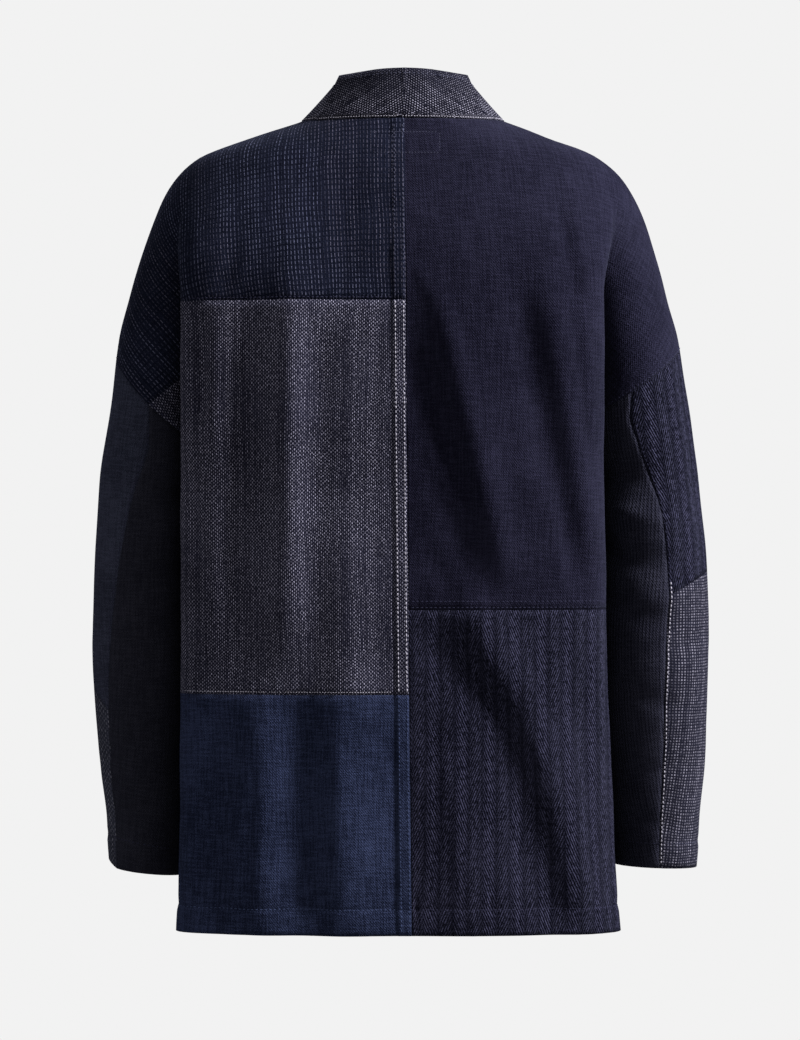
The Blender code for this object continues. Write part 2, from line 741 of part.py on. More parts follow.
def wall(garment, normals, name, thickness):
    """One panel as a closed wall round its part of the middle surface, drawn in by half the
    seam gap along the edges that it shares with another panel."""
    faces = [face for face, panel in zip(garment.faces, garment.panels) if panel == name]
    owners = {}
    for face, panel in zip(garment.faces, garment.panels):
        for k in range(len(face)):
            edge = frozenset((face[k], face[(k + 1) % len(face)]))
            owners.setdefault(edge, []).append(panel)
    used = sorted({corner for face in faces for corner in face})
    place = {corner: k for k, corner in enumerate(used)}
    moved = {corner: np.array(garment.points[corner]) for corner in used}
    rim = []
    inward = {}
    for face in faces:
        flat = face_normal(garment.points, face)
        flat = flat / np.linalg.norm(flat)
        for k in range(len(face)):
            a, b = face[k], face[(k + 1) % len(face)]
            own = owners[frozenset((a, b))]
            if own.count(name) == 2:
                continue
            rim.append((a, b))
            if len(own) > 1 or {a, b} <= garment.centre:
                along = garment.points[b] - garment.points[a]
                away = np.cross(flat, along)
                away = away / np.linalg.norm(away)
                for corner in (a, b):
                    inward.setdefault(corner, []).append(away)
    for corner, ways in inward.items():
        total = np.sum(ways, axis=0)
        total = total / np.linalg.norm(total)
        lean = max(LEAST_LEAN, float(np.mean([total.dot(way) for way in ways])))
        trim = BAND_TRIM if name == "collar_band" else SEAM_TRIM
        if corner in garment.underarms:
            trim = UNDERARM_TRIM * lean
        moved[corner] = moved[corner] + total * trim / lean
    half = 0.5 * thickness
    vertices = [moved[corner] + normals[corner] * half for corner in used]
    vertices += [moved[corner] - normals[corner] * half for corner in used]
    count = len(used)
    solid = [tuple(place[corner] for corner in face) for face in faces]
    solid += [tuple(count + place[corner] for corner in reversed(face)) for face in faces]
    solid += [(place[b], place[a], count + place[a], count + place[b]) for a, b in rim]
    mesh = bpy.data.meshes.new(name)
    mesh.from_pydata([tuple(vertex * MM) for vertex in vertices], [], solid)
    mesh.validate()
    mesh.update()
    return mesh


def finish(name):
    colour, roughness = PANEL_FINISH[name]
    material = bpy.data.materials.new(name)
    material.use_nodes = True
    shader = material.node_tree.nodes["Principled BSDF"]
    shader.inputs["Base Color"].default_value = (*colour, 1.0)
    shader.inputs["Roughness"].default_value = roughness
    shader.inputs["Metallic"].default_value = 0.0
    return material


def build():
    remove_everything()
    garment = Garment()
    backs = {side: back_panels(garment, side) for side in (1, -1)}
    fronts = {side: front_panels(garment, side) for side in (1, -1)}
    for side in (1, -1):
        sleeve(garment, side)
    collar_band(garment, band_edges(backs, fronts))
    normals = vertex_normals(garment)
    for name in PANEL_FINISH:
        thickness = BAND_WALL if name == "collar_band" else CLOTH_WALL
        mesh = wall(garment, normals, name, thickness)
        mesh.materials.append(finish(name))
        mesh.shade_smooth()
        panel = bpy.data.objects.new(name, mesh)
        bpy.context.scene.collection.objects.link(panel)


build()
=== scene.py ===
"""Looks of the patched boro jacket: creased cloth panels, topstitching and woven finishes.

Tables and sizes are in millimetres and are turned into metres where a mesh is made. The front
faces -Y, the wearer's left is +X, and the origin is the centre of the neck at the height of the
nape seam. The panels are thin shells on the form of the frame's solids, with finer creases.
"""

from collections import namedtuple
import math

import bmesh
import bpy
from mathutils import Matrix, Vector
from mathutils.bvhtree import BVHTree
import numpy as np

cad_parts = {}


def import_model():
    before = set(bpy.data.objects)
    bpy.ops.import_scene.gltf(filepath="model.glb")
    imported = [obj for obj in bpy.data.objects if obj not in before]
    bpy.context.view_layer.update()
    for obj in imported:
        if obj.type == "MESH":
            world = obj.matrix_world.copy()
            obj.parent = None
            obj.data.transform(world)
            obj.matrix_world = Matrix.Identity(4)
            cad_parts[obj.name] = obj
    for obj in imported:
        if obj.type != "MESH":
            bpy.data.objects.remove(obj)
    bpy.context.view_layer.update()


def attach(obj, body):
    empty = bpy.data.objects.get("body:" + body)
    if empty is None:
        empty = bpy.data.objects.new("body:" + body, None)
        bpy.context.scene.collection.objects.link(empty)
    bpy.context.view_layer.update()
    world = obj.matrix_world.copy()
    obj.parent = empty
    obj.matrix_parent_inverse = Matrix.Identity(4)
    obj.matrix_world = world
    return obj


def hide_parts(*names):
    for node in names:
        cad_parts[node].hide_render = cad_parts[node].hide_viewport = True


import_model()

MM = 0.001

# Cloth walls
CLOTH_WALL = 1.5
BAND_WALL = 3.0

# The centre back seam runs a little to the right on its way down
DRIFT_NAPE = 1.5
DRIFT_HEM = 7.0

# Named levels on the garment, as heights from the nape seam
NECK_POINT_RISE = 2.0
LEFT_YOKE_SEAM = -172.6
LEFT_LOWER_SEAM = -536.0
RIGHT_LOWER_SEAM = -458.0
HEM = -757.0
DROP_START = -60.0
UNDERARM = {1: -308.0, -1: -280.0}
SLEEVE_TOP = {1: -224.0, -1: -215.0}
CUFF_OUTER = {1: -698.0, -1: -706.0}
CUFF_INNER = {1: -713.0, -1: -703.0}
PATCH_LEVEL = {1: -532.0, -1: -424.0}

# Collar band and front edges
BAND_WIDTH = 48.0
FRONT_EDGE = 57.0
V_DEPTH = -215.0
V_CURVE = 1.35
BAND_STAND = math.radians(24)
BAND_STAND_FROM = -95.0
BAND_STAND_TO = -20.0
LEAN_NAPE = 0.14
LEAN_NECK = 0.68
LEAN_CURVE = 1.6
NECK_MIDDLE = 8.0
BAND_SMOOTHING = 350
BAND_FOLLOW_ROWS = 5
NECK_FRONT = -30.0
NECK_BACK = 10.0

# Sections of the body
BACK_SQUARENESS = (0.9, 0.8)
FRONT_SQUARENESS = (0.95, 0.85)
BLEND_TOP = -48.0
BLEND_END = -165.0
CREASE_BACK = 80.0
CREASE_FRONT = 72.0
CREASE_FLARE = 17.0
CREASE_CURVE = 0.8
FOLD_ANGLE_TOP = math.radians(52)
FOLD_ANGLE_LOW = math.radians(61)
FOLD_ANGLE_END = -90.0
FRONT_FOLD_STEP = 5.0
CREASE_ANGLE = math.radians(5)
CENTRE_DIP_WIDTH = 55.0
SIDE_HOLLOW = 8.0
SIDE_BULGE = 6.0
SIDE_TURN = 0.55
SIDE_BULGE_LEVEL = -520.0
FOLD_DROP = 40.0

# Where folds fade: along their length, and across the panel near its fold edge
FADE_IN = (-0.12, 0.22)
FADE_OUT = (0.78, 1.12)
FOLD_EDGE = (0.86, 1.05)
CREASE_EDGE = (0.93, 1.25)
PUCKER_EDGE = (0.95, 1.6)

# Top of the sleeve: how far down its seams and its folds settle, as shares of its length
SEAM_SETTLE = 0.12
FOLD_SETTLE = 0.15
LEAST_END_ANGLE = 0.1

# Hems: how far the stitched line is above the edge, how high the doubled cloth stands, and
# how far below the stitches it is at full height, with the depth and width of their groove
HEM_TURN = 24.0
HEM_STITCH = HEM + HEM_TURN
HEM_STEP = 1.6
CUFF_TURN = 24.0
HEM_RISE = 0.6
HEM_EDGE = (3.0, 0.7, 2.2)
CUFF_EDGE = (4.0, 0.6, 3.0)

# The centre back seam is felled: a doubled strip beside it, with a groove along its edge
FELL_WIDTH = 11.2
FELL_RISE = 0.9
FELL_FADE = 1.3
FELL_GROOVE = 0.7
FELL_GROOVE_AT = 1.8
FELL_GROOVE_WIDTH = 1.6

# Divisions of the mesh
STRIP_COLUMNS = (0.0, 2.0, 4.0, 6.0, 8.0, 9.6, 11.0, 12.4, 14.0)
MIDDLE_LEVEL = -300.0
HEM_ROWS = 6
COLUMNS_PANEL = 50
COLUMNS_FOLD = 15
COLUMNS_ARM = 40
ROWS_YOKE = 36
ROWS_ARMHOLE = 20
ROWS_BODY = 70
ROWS_SLEEVE = 78
BAND_STRIPS = 10
CREASE_COLUMN = COLUMNS_PANEL + COLUMNS_FOLD
QUARTER_ARM = COLUMNS_ARM // 2
ROW_SPREAD = 1.25
HALVINGS = 40
EVEN_SAMPLES = 800

# Welded points, and the edges of the panels' shells
WELD_DISTANCE = 0.02
UNDERARM_TOLERANCE = 0.5
CENTRE_TOLERANCE = 1e-6
LEAST_AGREEMENT = 0.2
EDGE_RING = 1.5
EDGE_DIP = 0.75

# Grain: millimetres of cloth to a degree round the arm, and the part of the torso it is read on
ARM_DEGREE = 0.9
GRAIN_REACH = 0.8

# Finishes: roughness and strength of the bump of plain and of stitched cloth, the sheen, and
# the lean and the cells of the band's flecks
BUMP_DISTANCE = 0.0006
PLAIN_FINISH = (0.9, 0.9)
STITCHED_FINISH = (0.92, 0.6)
MATT_ROUGHNESS = 0.9
SHEEN = 0.006
SHEEN_ROUGHNESS = 0.5
SHEEN_TINT = (0.65, 0.7, 1.0, 1.0)
STITCH_SOFTNESS = 0.14
TWILL_LEAN = 0.62
TWILL_CELL = (2.6, 3.3, 0.37, 0.12, 0.18)
HERRINGBONE_SLOPE = 2.4
HERRINGBONE_GROUND = 0.35

# Stage, in metres and watts
FLOOR_LEVEL = -1.5
FLOOR_RADIUS = 4.3
FLOOR_GREY = 0.20
FLOOR_SPECULAR = 0.5
PALE = 0.887
CAMERA_PLACE = (0.0038, 3.6, -0.375)
CAMERA_LENS = 170.53
LIT_POINT = (0.0, 0.0, -0.35)
Light = namedtuple("Light", "name place size power")
LIGHTS = [
    Light("key", (-3.0, 1.2, 1.6), 0.8, 770.0),
    Light("rim", (-2.6, 0.6, 2.4), 1.0, 740.0),
    Light("fill", (3.1, 0.8, 0.8), 2.0, 74.0),
    Light("front", (0.8, -2.4, 2.0), 1.4, 330.0),
    Light("soft", (-0.8, 3.2, 0.9), 2.4, 42.0),
]

# Half widths of the whole outline, arms included, seen from behind
Outline = namedtuple("Outline", "height left right")
OUTLINE = [
    Outline(2, 96, 94),
    Outline(-14, 144, 137),
    Outline(-33, 195, 184),
    Outline(-52, 216, 206),
    Outline(-71, 228, 218),
    Outline(-90, 236, 226),
    Outline(-128, 249, 238.5),
    Outline(-166, 260, 249),
    Outline(-204, 270, 259.5),
    Outline(-261, 276.5, 268),
    Outline(-337, 288, 279),
    Outline(-432, 293.5, 287),
    Outline(-489, 294.5, 288),
    Outline(-584, 291, 287),
    Outline(-660, 283, 281),
    Outline(-715, 280, 278),
]

# Torso: depth at the centre back, over the shoulder blades and at the front, and the two
# upright fold edges of the back panel with the side seams that lie in front of them
Torso = namedtuple("Torso", "height centre blade front fold_left fold_right fold_y side_left side_right")
TORSO = [
    Torso(2, 66, 66, 58, 207, 185, 82, 190, 172),
    Torso(-14, 73, 73, 62, 207, 185, 82, 190, 172),
    Torso(-33, 82, 82, 68, 207, 185, 82, 190, 172),
    Torso(-52, 91, 92, 75, 207, 185, 82, 190, 172),
    Torso(-90, 104, 107, 90, 207, 185, 82, 190, 172),
    Torso(-128, 112, 117, 106, 207, 185, 82, 190, 172),
    Torso(-190, 118, 124, 121, 207, 185, 80, 190, 172),
    Torso(-280, 119, 124, 130, 207.5, 185.5, 74, 190, 172),
    Torso(-308, 118, 122, 131, 207.5, 185.5, 71, 190, 169.5),
    Torso(-345, 117, 120, 132, 207.5, 186, 69, 185.5, 168),
    Torso(-450, 115, 117, 133, 207.5, 187.5, 67, 184.5, 169),
    Torso(-540, 114, 116, 132, 207.5, 190, 66, 185, 171),
    Torso(-640, 117, 119, 131, 208.5, 194, 66, 189, 178),
    Torso(-757, 121, 124, 130, 211, 200.5, 66, 198, 189),
]

# Sleeves: middle depth, half depth and inner line; above the underarm the inner line is
# the one that the arm would have inside the body
Arm = namedtuple("Arm", "height centre half_depth inner_left inner_right")
ARM = [
    Arm(2, 5, 50, 90, 86),
    Arm(-52, 5, 50, 124, 114),
    Arm(-90, 3, 52, 144, 134),
    Arm(-166, 2, 55, 168, 157),
    Arm(-230, 1, 57, 181, 168),
    Arm(-280, 0, 57, 187, 172),
    Arm(-308, 0, 57, 190, 177),
    Arm(-345, 1, 57, 197, 181),
    Arm(-400, 4, 56, 199.5, 183),
    Arm(-500, 2, 54, 199.5, 184),
    Arm(-600, -12, 50, 203, 190),
    Arm(-715, -32, 45, 209, 204),
]

# Angle round the sleeve of its back seam and its front seam, from the outermost line
SleeveSeam = namedtuple("SleeveSeam", "height left right left_front right_front")
SLEEVE_SEAMS = [
    SleeveSeam(-215, 92, 105, 100, 96),
    SleeveSeam(-310, 88, 97, 92, 92),
    SleeveSeam(-364, 75, 82, 86, 88),
    SleeveSeam(-430, 63, 77, 80, 82),
    SleeveSeam(-530, 50, 82, 74, 80),
    SleeveSeam(-625, 44, 85, 72, 82),
    SleeveSeam(-715, 42, 90, 72, 84),
]

# Large folds: the ends of each centre line, its half width and its height, minus a trough
Fold = namedtuple("Fold", "x_top top x_low low half_width rise")
BACK_FOLDS = [
    Fold(103, -150, 112, -520, 20, 7.0),
    Fold(147, -170, 155, -510, 16, -6.0),
    Fold(178, -190, 177, -480, 12, 4.0),
    Fold(58, -360, 56, -757, 24, 7.0),
    Fold(80, -200, 84, -380, 16, -3.0),
    Fold(98, -545, 98, -757, 17, -7.0),
    Fold(136, -530, 138, -757, 18, 6.0),
    Fold(174, -540, 171, -757, 15, -4.0),
    Fold(-26, -150, -95, -430, 17, 6.5),
    Fold(-2, -210, -64, -430, 14, -4.0),
    Fold(-102, -150, -157, -440, 16, -5.5),
    Fold(-130, -150, -181, -430, 14, 5.0),
    Fold(-47, -440, -124, -560, 19, 6.5),
    Fold(-15, -480, -90, -560, 17, -5.0),
    Fold(-116, -540, -172, -757, 20, 7.5),
    Fold(-86, -545, -136, -757, 19, -6.5),
    Fold(-30, -590, -52, -757, 20, 4.5),
]
FRONT_FOLDS = [
    Fold(150, -150, 120, -420, 20, -6.0),
    Fold(100, -260, 95, -620, 22, 5.0),
    Fold(150, -430, 145, -757, 18, -6.0),
    Fold(-148, -160, -112, -400, 20, -6.0),
    Fold(-98, -300, -102, -680, 22, 5.0),
    Fold(-148, -470, -140, -757, 18, -6.0),
]

# Smaller creases on the same panels
BACK_CREASES = [
    Fold(189, -185, 187, -285, 7, -5.5),
    Fold(104, -175, 112, -515, 12, 3.0),
    Fold(56, -580, 56, -757, 14, 2.5),
    Fold(-32, -165, -94, -430, 11, 2.5),
    Fold(150, -80, 168, -176, 9, -2.0),
    Fold(176, -270, 158, -360, 7, 1.8),
    Fold(196, -330, 186, -470, 6, -1.6),
    Fold(100, -60, 108, -168, 12, 1.5),
    Fold(48, -52, 60, -165, 13, -1.6),
    Fold(105, -330, 92, -520, 8, 1.5),
    Fold(20, -205, 34, -300, 8, -1.4),
    Fold(47, -545, 52, -690, 7, -1.8),
    Fold(100, -620, 104, -757, 6, 1.3),
    Fold(137, -585, 146, -757, 7, -2.0),
    Fold(156, -640, 158, -757, 5, 1.6),
    Fold(190, -600, 187, -757, 5, -1.6),
    Fold(12, -560, 9, -740, 6, -1.2),
    Fold(-19, -301, -61, -384, 6, 2.6),
    Fold(-10, -94, -34, -98, 5, 1.2),
    Fold(-10, -142, -28, -170, 5, 1.2),
    Fold(-48, -120, -92, -330, 10, 1.6),
    Fold(-140, -70, -168, -190, 8, -2.2),
    Fold(-158, -95, -176, -300, 5, 2.2),
    Fold(-130, -330, -150, -452, 7, 1.7),
    Fold(-20, -400, -52, -455, 7, -1.6),
    Fold(-64, -478, -128, -600, 7, 2.2),
    Fold(-22, -560, -48, -745, 9, -2.0),
    Fold(-136, -500, -160, -640, 7, 2.0),
    Fold(-118, -660, -130, -757, 7, 1.8),
    Fold(-178, -620, -186, -750, 6, -1.8),
]
FRONT_CREASES = [
    Fold(170, -120, 186, -300, 8, -2.4),
    Fold(132, -200, 80, -330, 8, 2.0),
    Fold(120, -430, 128, -600, 8, -2.0),
    Fold(78, -560, 84, -757, 7, 1.6),
    Fold(176, -480, 172, -700, 7, 1.8),
    Fold(-160, -130, -174, -300, 8, -2.4),
    Fold(-124, -190, -76, -340, 8, 2.0),
    Fold(-120, -420, -126, -640, 8, -2.0),
    Fold(-80, -540, -76, -757, 7, 1.7),
    Fold(-168, -520, -166, -757, 7, 1.8),
]

# Sleeve folds run round the arm: where each is deepest, and how far it reaches
Wrinkle = namedtuple("Wrinkle", "side angle height half_angle half_height slant depth")
WRINKLES = [
    Wrinkle(1, 150, -345, 45, 12, 0.35, 5.0),
    Wrinkle(1, 175, -410, 60, 12, 0.20, 5.0),
    Wrinkle(1, 120, -470, 50, 14, 0.30, 3.5),
    Wrinkle(-1, 150, -330, 40, 16, -0.30, 6.0),
    Wrinkle(-1, 170, -395, 60, 12, 0.25, 5.0),
    Wrinkle(-1, 125, -455, 55, 14, 0.35, 4.0),
    Wrinkle(1, -130, -400, 60, 13, 0.30, 6.0),
    Wrinkle(1, -110, -450, 60, 13, 0.25, 5.5),
    Wrinkle(-1, -130, -390, 60, 13, 0.30, 6.0),
    Wrinkle(-1, -105, -445, 60, 13, 0.25, 5.5),
]
FINE_WRINKLES = [
    Wrinkle(1, 100, -430, 38, 6, 0.40, 1.8),
    Wrinkle(1, 140, -378, 40, 6, 0.25, -2.0),
    Wrinkle(1, 90, -520, 50, 8, -0.20, 1.4),
    Wrinkle(1, 60, -590, 40, 8, 0.30, 1.2),
    Wrinkle(1, -90, -425, 45, 6, 0.25, -2.2),
    Wrinkle(1, -150, -520, 45, 8, 0.20, 2.4),
    Wrinkle(1, -60, -500, 40, 7, 0.30, 1.6),
    Wrinkle(1, 120, -640, 60, 9, 0.15, 1.8),
    Wrinkle(-1, 112, -336, 36, 17, -0.10, 6.0),
    Wrinkle(-1, 112, -371, 45, 8, 0.12, -4.5),
    Wrinkle(-1, 122, -412, 50, 13, 0.20, 4.0),
    Wrinkle(-1, 100, -452, 45, 9, -0.15, -2.8),
    Wrinkle(-1, 80, -408, 35, 6, 0.30, 2.0),
    Wrinkle(-1, 70, -492, 45, 7, -0.25, 1.8),
    Wrinkle(-1, 110, -540, 55, 8, 0.25, 2.4),
    Wrinkle(-1, 90, -610, 50, 8, -0.15, 1.8),
    Wrinkle(-1, 120, -655, 60, 9, 0.20, 1.8),
    Wrinkle(-1, -90, -418, 45, 6, 0.25, -2.2),
    Wrinkle(-1, -150, -510, 45, 8, 0.20, 2.4),
    Wrinkle(-1, -60, -520, 40, 7, 0.30, 1.6),
]

# Puckers: small ripples along a seam, at a height, over a span across the back (or the front),
# with the distance between ripples, their height and how far they reach from the seam
Pucker = namedtuple("Pucker", "face level x_low x_high spacing rise reach")
PUCKERS = [
    Pucker(1, LEFT_YOKE_SEAM, 0, 230, 15.0, 0.5, 13),
    Pucker(1, LEFT_LOWER_SEAM, 0, 230, 13.0, 1.1, 20),
    Pucker(1, RIGHT_LOWER_SEAM, -230, 0, 17.0, 0.8, 18),
    Pucker(1, HEM_STITCH, -230, 230, 11.0, 1.5, 18),
    Pucker(-1, HEM_STITCH, -230, 230, 12.0, 0.9, 20),
]
# The last three of these for the centre seam, the armholes and the cuffs
CENTRE_PUCKER = (24.0, 0.7, 16.0)
CENTRE_CALM = 4.0
ARMHOLE_PUCKER = (13.0, 0.7, 14.0)
CUFF_PUCKER = (16.0, 0.8, 18.0)

# Soft unevenness of worn cloth: its height and its span
UNDULATION = 0.7
UNDULATION_SPAN = 23.0

# Panels: the material slot, and the cut's width, length and area on the flat, in metres
Cut = namedtuple("Cut", "slot width length area")
CUTS = {
    "back_left_upper": Cut("dash_cloth", 0.380, 0.240, 0.064),
    "back_left_middle": Cut("fleck_cloth", 0.350, 0.370, 0.113),
    "back_left_lower": Cut("indigo_cloth", 0.315, 0.228, 0.069),
    "back_right_upper": Cut("plain_navy_cloth", 0.355, 0.520, 0.141),
    "back_right_lower": Cut("herringbone_cloth", 0.290, 0.305, 0.085),
    "front_left": Cut("dash_cloth", 0.310, 0.818, 0.188),
    "front_right": Cut("plain_navy_cloth", 0.290, 0.815, 0.175),
    "sleeve_left_outer_upper": Cut("blue_black_cloth", 0.162, 0.331, 0.042),
    "sleeve_left_outer_lower": Cut("sparse_fleck_cloth", 0.106, 0.182, 0.0155),
    "sleeve_left_inner": Cut("black_cloth", 0.205, 0.460, 0.079),
    "sleeve_right_outer_upper": Cut("herringbone_cloth", 0.187, 0.231, 0.034),
    "sleeve_right_outer_lower": Cut("stitch_grid_cloth", 0.153, 0.290, 0.040),
    "sleeve_right_inner": Cut("ribbed_black_cloth", 0.187, 0.466, 0.074),
    "collar_band": Cut("collar_cloth", BAND_WIDTH * MM, 1.890, None),
}
NUMBER = {name: number for number, name in enumerate(CUTS)}

# Topstitching: thread colours, and the length, pitch and section of one stitch
THREADS = {
    "pale": (0.1150, 0.1100, 0.1300),
    "grey": (0.0120, 0.0122, 0.0190),
    "blue": (0.0100, 0.0132, 0.0270),
    "navy": (0.0062, 0.0062, 0.0115),
}
STITCH_LENGTH = 2.9
STITCH_PITCH = 4.2
STITCH_HALF_WIDTH = 0.55
STITCH_HEIGHT = 0.55
STITCH_SHOULDER = 0.55
STITCH_LIFT = 0.2
STITCH_SINK = 0.15
ROW_SAMPLES = 240
RAY_START = 400.0

# Rows of topstitching: how far they keep from their seams and edges, and where they end
CENTRE_ROWS = (2.0, FELL_WIDTH - 1.6)
CENTRE_ROWS_TOP = -6.0
CENTRE_ROWS_END = HEM + 3.0
SEAM_ROWS_START = {1: FELL_WIDTH + 1.0, -1: -2.0}
SEAM_ROWS_END = {1: 205.0, -1: -183.0}
RIGHT_SEAM_ROWS = (2.4, 8.0)
ROW_START = 0.02
ARMHOLE_ROW = 3.0
SLEEVE_ROW_ANGLE = 3.0
SLEEVE_ROW_TOP = 70.0
SLEEVE_ROW_END = 2.0
CUFF_ROW_SPLIT = 86.0
NAPE_BOX = ((31.0, -14.0), (-33.0, -14.0), (-33.0, -34.0), (31.0, -34.0), (31.0, -14.0))
NAPE_SAMPLES = 60
BAND_NECK_END = -60.0


def column(table, name):
    """A smooth curve through one named column of a table, against its first column."""
    rows = sorted(table, key=lambda row: row.height)
    at = np.array([row.height for row in rows], float)
    value = np.array([getattr(row, name) for row in rows], float)
    step = np.diff(at)
    slope = np.diff(value) / step
    product = slope[1:] * slope[:-1]
    total = np.where(product > 0, slope[1:] + slope[:-1], 1.0)
    inner = np.where(product > 0, 2.0 * product / total, 0.0)
    tangent = np.concatenate([slope[:1], inner, slope[-1:]])

    def read(height):
        h = np.clip(height, at[0], at[-1])
        i = np.clip(np.searchsorted(at, h) - 1, 0, len(step) - 1)
        s = (h - at[i]) / step[i]
        rise = value[i + 1] - value[i]
        start = tangent[i] * step[i]
        end = tangent[i + 1] * step[i]
        return value[i] + start * s + (3 * rise - 2 * start - end) * s**2 + (start + end - 2 * rise) * s**3

    return read


def smooth(low, high, value):
    s = np.clip((value - low) / (high - low), 0.0, 1.0)
    return s * s * (3.0 - 2.0 * s)


def mix(first, second, share):
    return first * (1.0 - share) + second * share


def bell(off, width):
    """Is 1 in the middle and dies away on both sides."""
    return np.exp(-((off / width) ** 2))


def tail(off, reach):
    """Is 1 in the middle, with a peak, and dies away more slowly than a bell."""
    return np.exp(-np.abs(off) / reach)


def arch(share):
    """Goes from 0 to 1 and is level at both ends."""
    return 0.5 - 0.5 * np.cos(np.pi * share)


SIDE_NAME = {1: "left", -1: "right"}
OUTER = {side: column(OUTLINE, name) for side, name in SIDE_NAME.items()}
FOLD_X = {side: column(TORSO, "fold_" + name) for side, name in SIDE_NAME.items()}
SIDE_X = {side: column(TORSO, "side_" + name) for side, name in SIDE_NAME.items()}
INNER = {side: column(ARM, "inner_" + name) for side, name in SIDE_NAME.items()}
SEAM_BACK = {side: column(SLEEVE_SEAMS, name) for side, name in SIDE_NAME.items()}
SEAM_FRONT = {side: column(SLEEVE_SEAMS, name + "_front") for side, name in SIDE_NAME.items()}
CENTRE_DEPTH = column(TORSO, "centre")
BLADE_DEPTH = column(TORSO, "blade")
FRONT_DEPTH = column(TORSO, "front")
FOLD_Y = column(TORSO, "fold_y")
ARM_MIDDLE = column(ARM, "centre")
ARM_HALF = column(ARM, "half_depth")


def crease(side, face, height):
    """Bottom of the armhole crease, which becomes the side seam below the underarm."""
    s = np.clip((height - UNDERARM[side]) / (DROP_START - UNDERARM[side]), 0.0, 1.0)
    depth = np.where(face > 0, CREASE_BACK, CREASE_FRONT)
    return SIDE_X[side](height) + CREASE_FLARE * s**2, face * depth * s**CREASE_CURVE


def arm_point(side, face, angle, height, hold=None):
    """A point round the arm, by its angle from the outermost line; hold is the line it ends on."""
    outer = OUTER[side](height)
    inner = INNER[side](height)
    half_width = 0.5 * (outer - inner)
    middle_x = 0.5 * (outer + inner)
    middle_y = ARM_MIDDLE(height)
    half_depth = ARM_HALF(height)
    reach = 1.0
    if hold is not None:
        across = (hold[0] - middle_x) / half_width
        along = face * (hold[1] - middle_y) / half_depth
        end = np.arctan2(along, across)
        end = np.where(end < LEAST_END_ANGLE, np.pi, end)
        reach = 1.0 + (np.hypot(across, along) - 1.0) * angle**3
        angle = angle * end
    x = middle_x + reach * half_width * np.cos(angle)
    y = middle_y + face * reach * half_depth * np.sin(angle)
    return x, y


def drape(x, height, table):
    """Summed height of the folds at a place on a panel."""
    total = np.zeros(np.broadcast(x, height).shape)
    for fold in table:
        run = np.array([fold.x_low - fold.x_top, fold.low - fold.top], float)
        length = np.hypot(*run)
        along = ((x - fold.x_top) * run[0] + (height - fold.top) * run[1]) / length**2
        off = ((x - fold.x_top) * run[1] - (height - fold.top) * run[0]) / length
        fade = smooth(*FADE_IN, along) * (1.0 - smooth(*FADE_OUT, along))
        total = total + fold.rise * fade * bell(off, fold.half_width)
    return total


def centre_seam(height):
    """How far to the side the centre back seam is at a height."""
    share = np.clip(-height, 0.0, -HEM) / -HEM
    return -share**0.5 * mix(DRIFT_NAPE, DRIFT_HEM, share)


def body_point(side, face, across, height):
    """Middle surface of the body. across is 0 at the centre, 1 on the armhole fold,
    2 in the crease or on the side seam, and 3 on the arm's outermost line."""
    across = np.asarray(across, float)
    height = np.asarray(height, float)
    outer = OUTER[side](height)
    ridge = ARM_MIDDLE(height)
    centre = CENTRE_DEPTH(height) if face > 0 else FRONT_DEPTH(height)
    blade = BLADE_DEPTH(height) if face > 0 else FRONT_DEPTH(height)

    fold_angle = mix(FOLD_ANGLE_TOP, FOLD_ANGLE_LOW, smooth(NECK_POINT_RISE, FOLD_ANGLE_END, height))
    crease_angle = fold_angle + CREASE_ANGLE
    part = np.clip(across, 0, 1) * fold_angle
    part = part + np.clip(across - 1, 0, 1) * CREASE_ANGLE
    part = part + np.clip(across - 2, 0, 1) * (0.5 * np.pi - crease_angle)
    top_x = outer * np.sin(part)
    top_y = ridge + face * (centre - face * ridge) * np.cos(part)

    power_x, power_y = BACK_SQUARENESS if face > 0 else FRONT_SQUARENESS
    fold_x = FOLD_X[side](height) - (0.0 if face > 0 else FRONT_FOLD_STEP)
    fold_y = FOLD_Y(height)
    turn = np.clip(across, 0, 1) * 0.5 * np.pi
    panel_x = fold_x * np.sin(turn) ** power_x
    panel_y = fold_y + (blade - fold_y) * np.cos(turn).clip(0.0) ** power_y
    panel_y = face * (panel_y - (blade - centre) * bell(panel_x, CENTRE_DIP_WIDTH))
    crease_x, crease_y = crease(side, face, height)
    s = np.clip(across - 1, 0, 1)
    hollow = smooth(SIDE_BULGE_LEVEL, UNDERARM[side], height)
    bend_x = crease_x + mix(SIDE_BULGE, -SIDE_HOLLOW, hollow)
    bend_y = mix(crease_y, face * fold_y, SIDE_TURN)
    side_x = (1 - s) ** 2 * fold_x + 2 * s * (1 - s) * bend_x + s**2 * crease_x
    side_y = (1 - s) ** 2 * face * fold_y + 2 * s * (1 - s) * bend_y + s**2 * crease_y
    arm_x, arm_y = arm_point(side, face, 3.0 - np.clip(across, 2, 3), height, (crease_x, crease_y))
    low_x = np.where(across <= 1, panel_x, np.where(across <= 2, side_x, arm_x))
    low_y = np.where(across <= 1, panel_y, np.where(across <= 2, side_y, arm_y))

    share = smooth(BLEND_TOP, BLEND_END, height)
    x = mix(top_x, low_x, share)
    y = mix(top_y, low_y, share)
    folds = drape(side * x, height, BACK_FOLDS if face > 0 else FRONT_FOLDS)
    y = y + face * folds * (1.0 - smooth(*FOLD_EDGE, across))
    x = side * x
    if face > 0:
        x = x + centre_seam(height) * (1.0 - np.clip(across, 0, 1)) ** 2
    return np.stack(np.broadcast_arrays(x, y, height), -1)


def armhole_height(side, share):
    """Height of the dropped sleeve seam, from the underarm, share 0, to the outermost line."""
    return mix(UNDERARM[side], SLEEVE_TOP[side], arch(share))


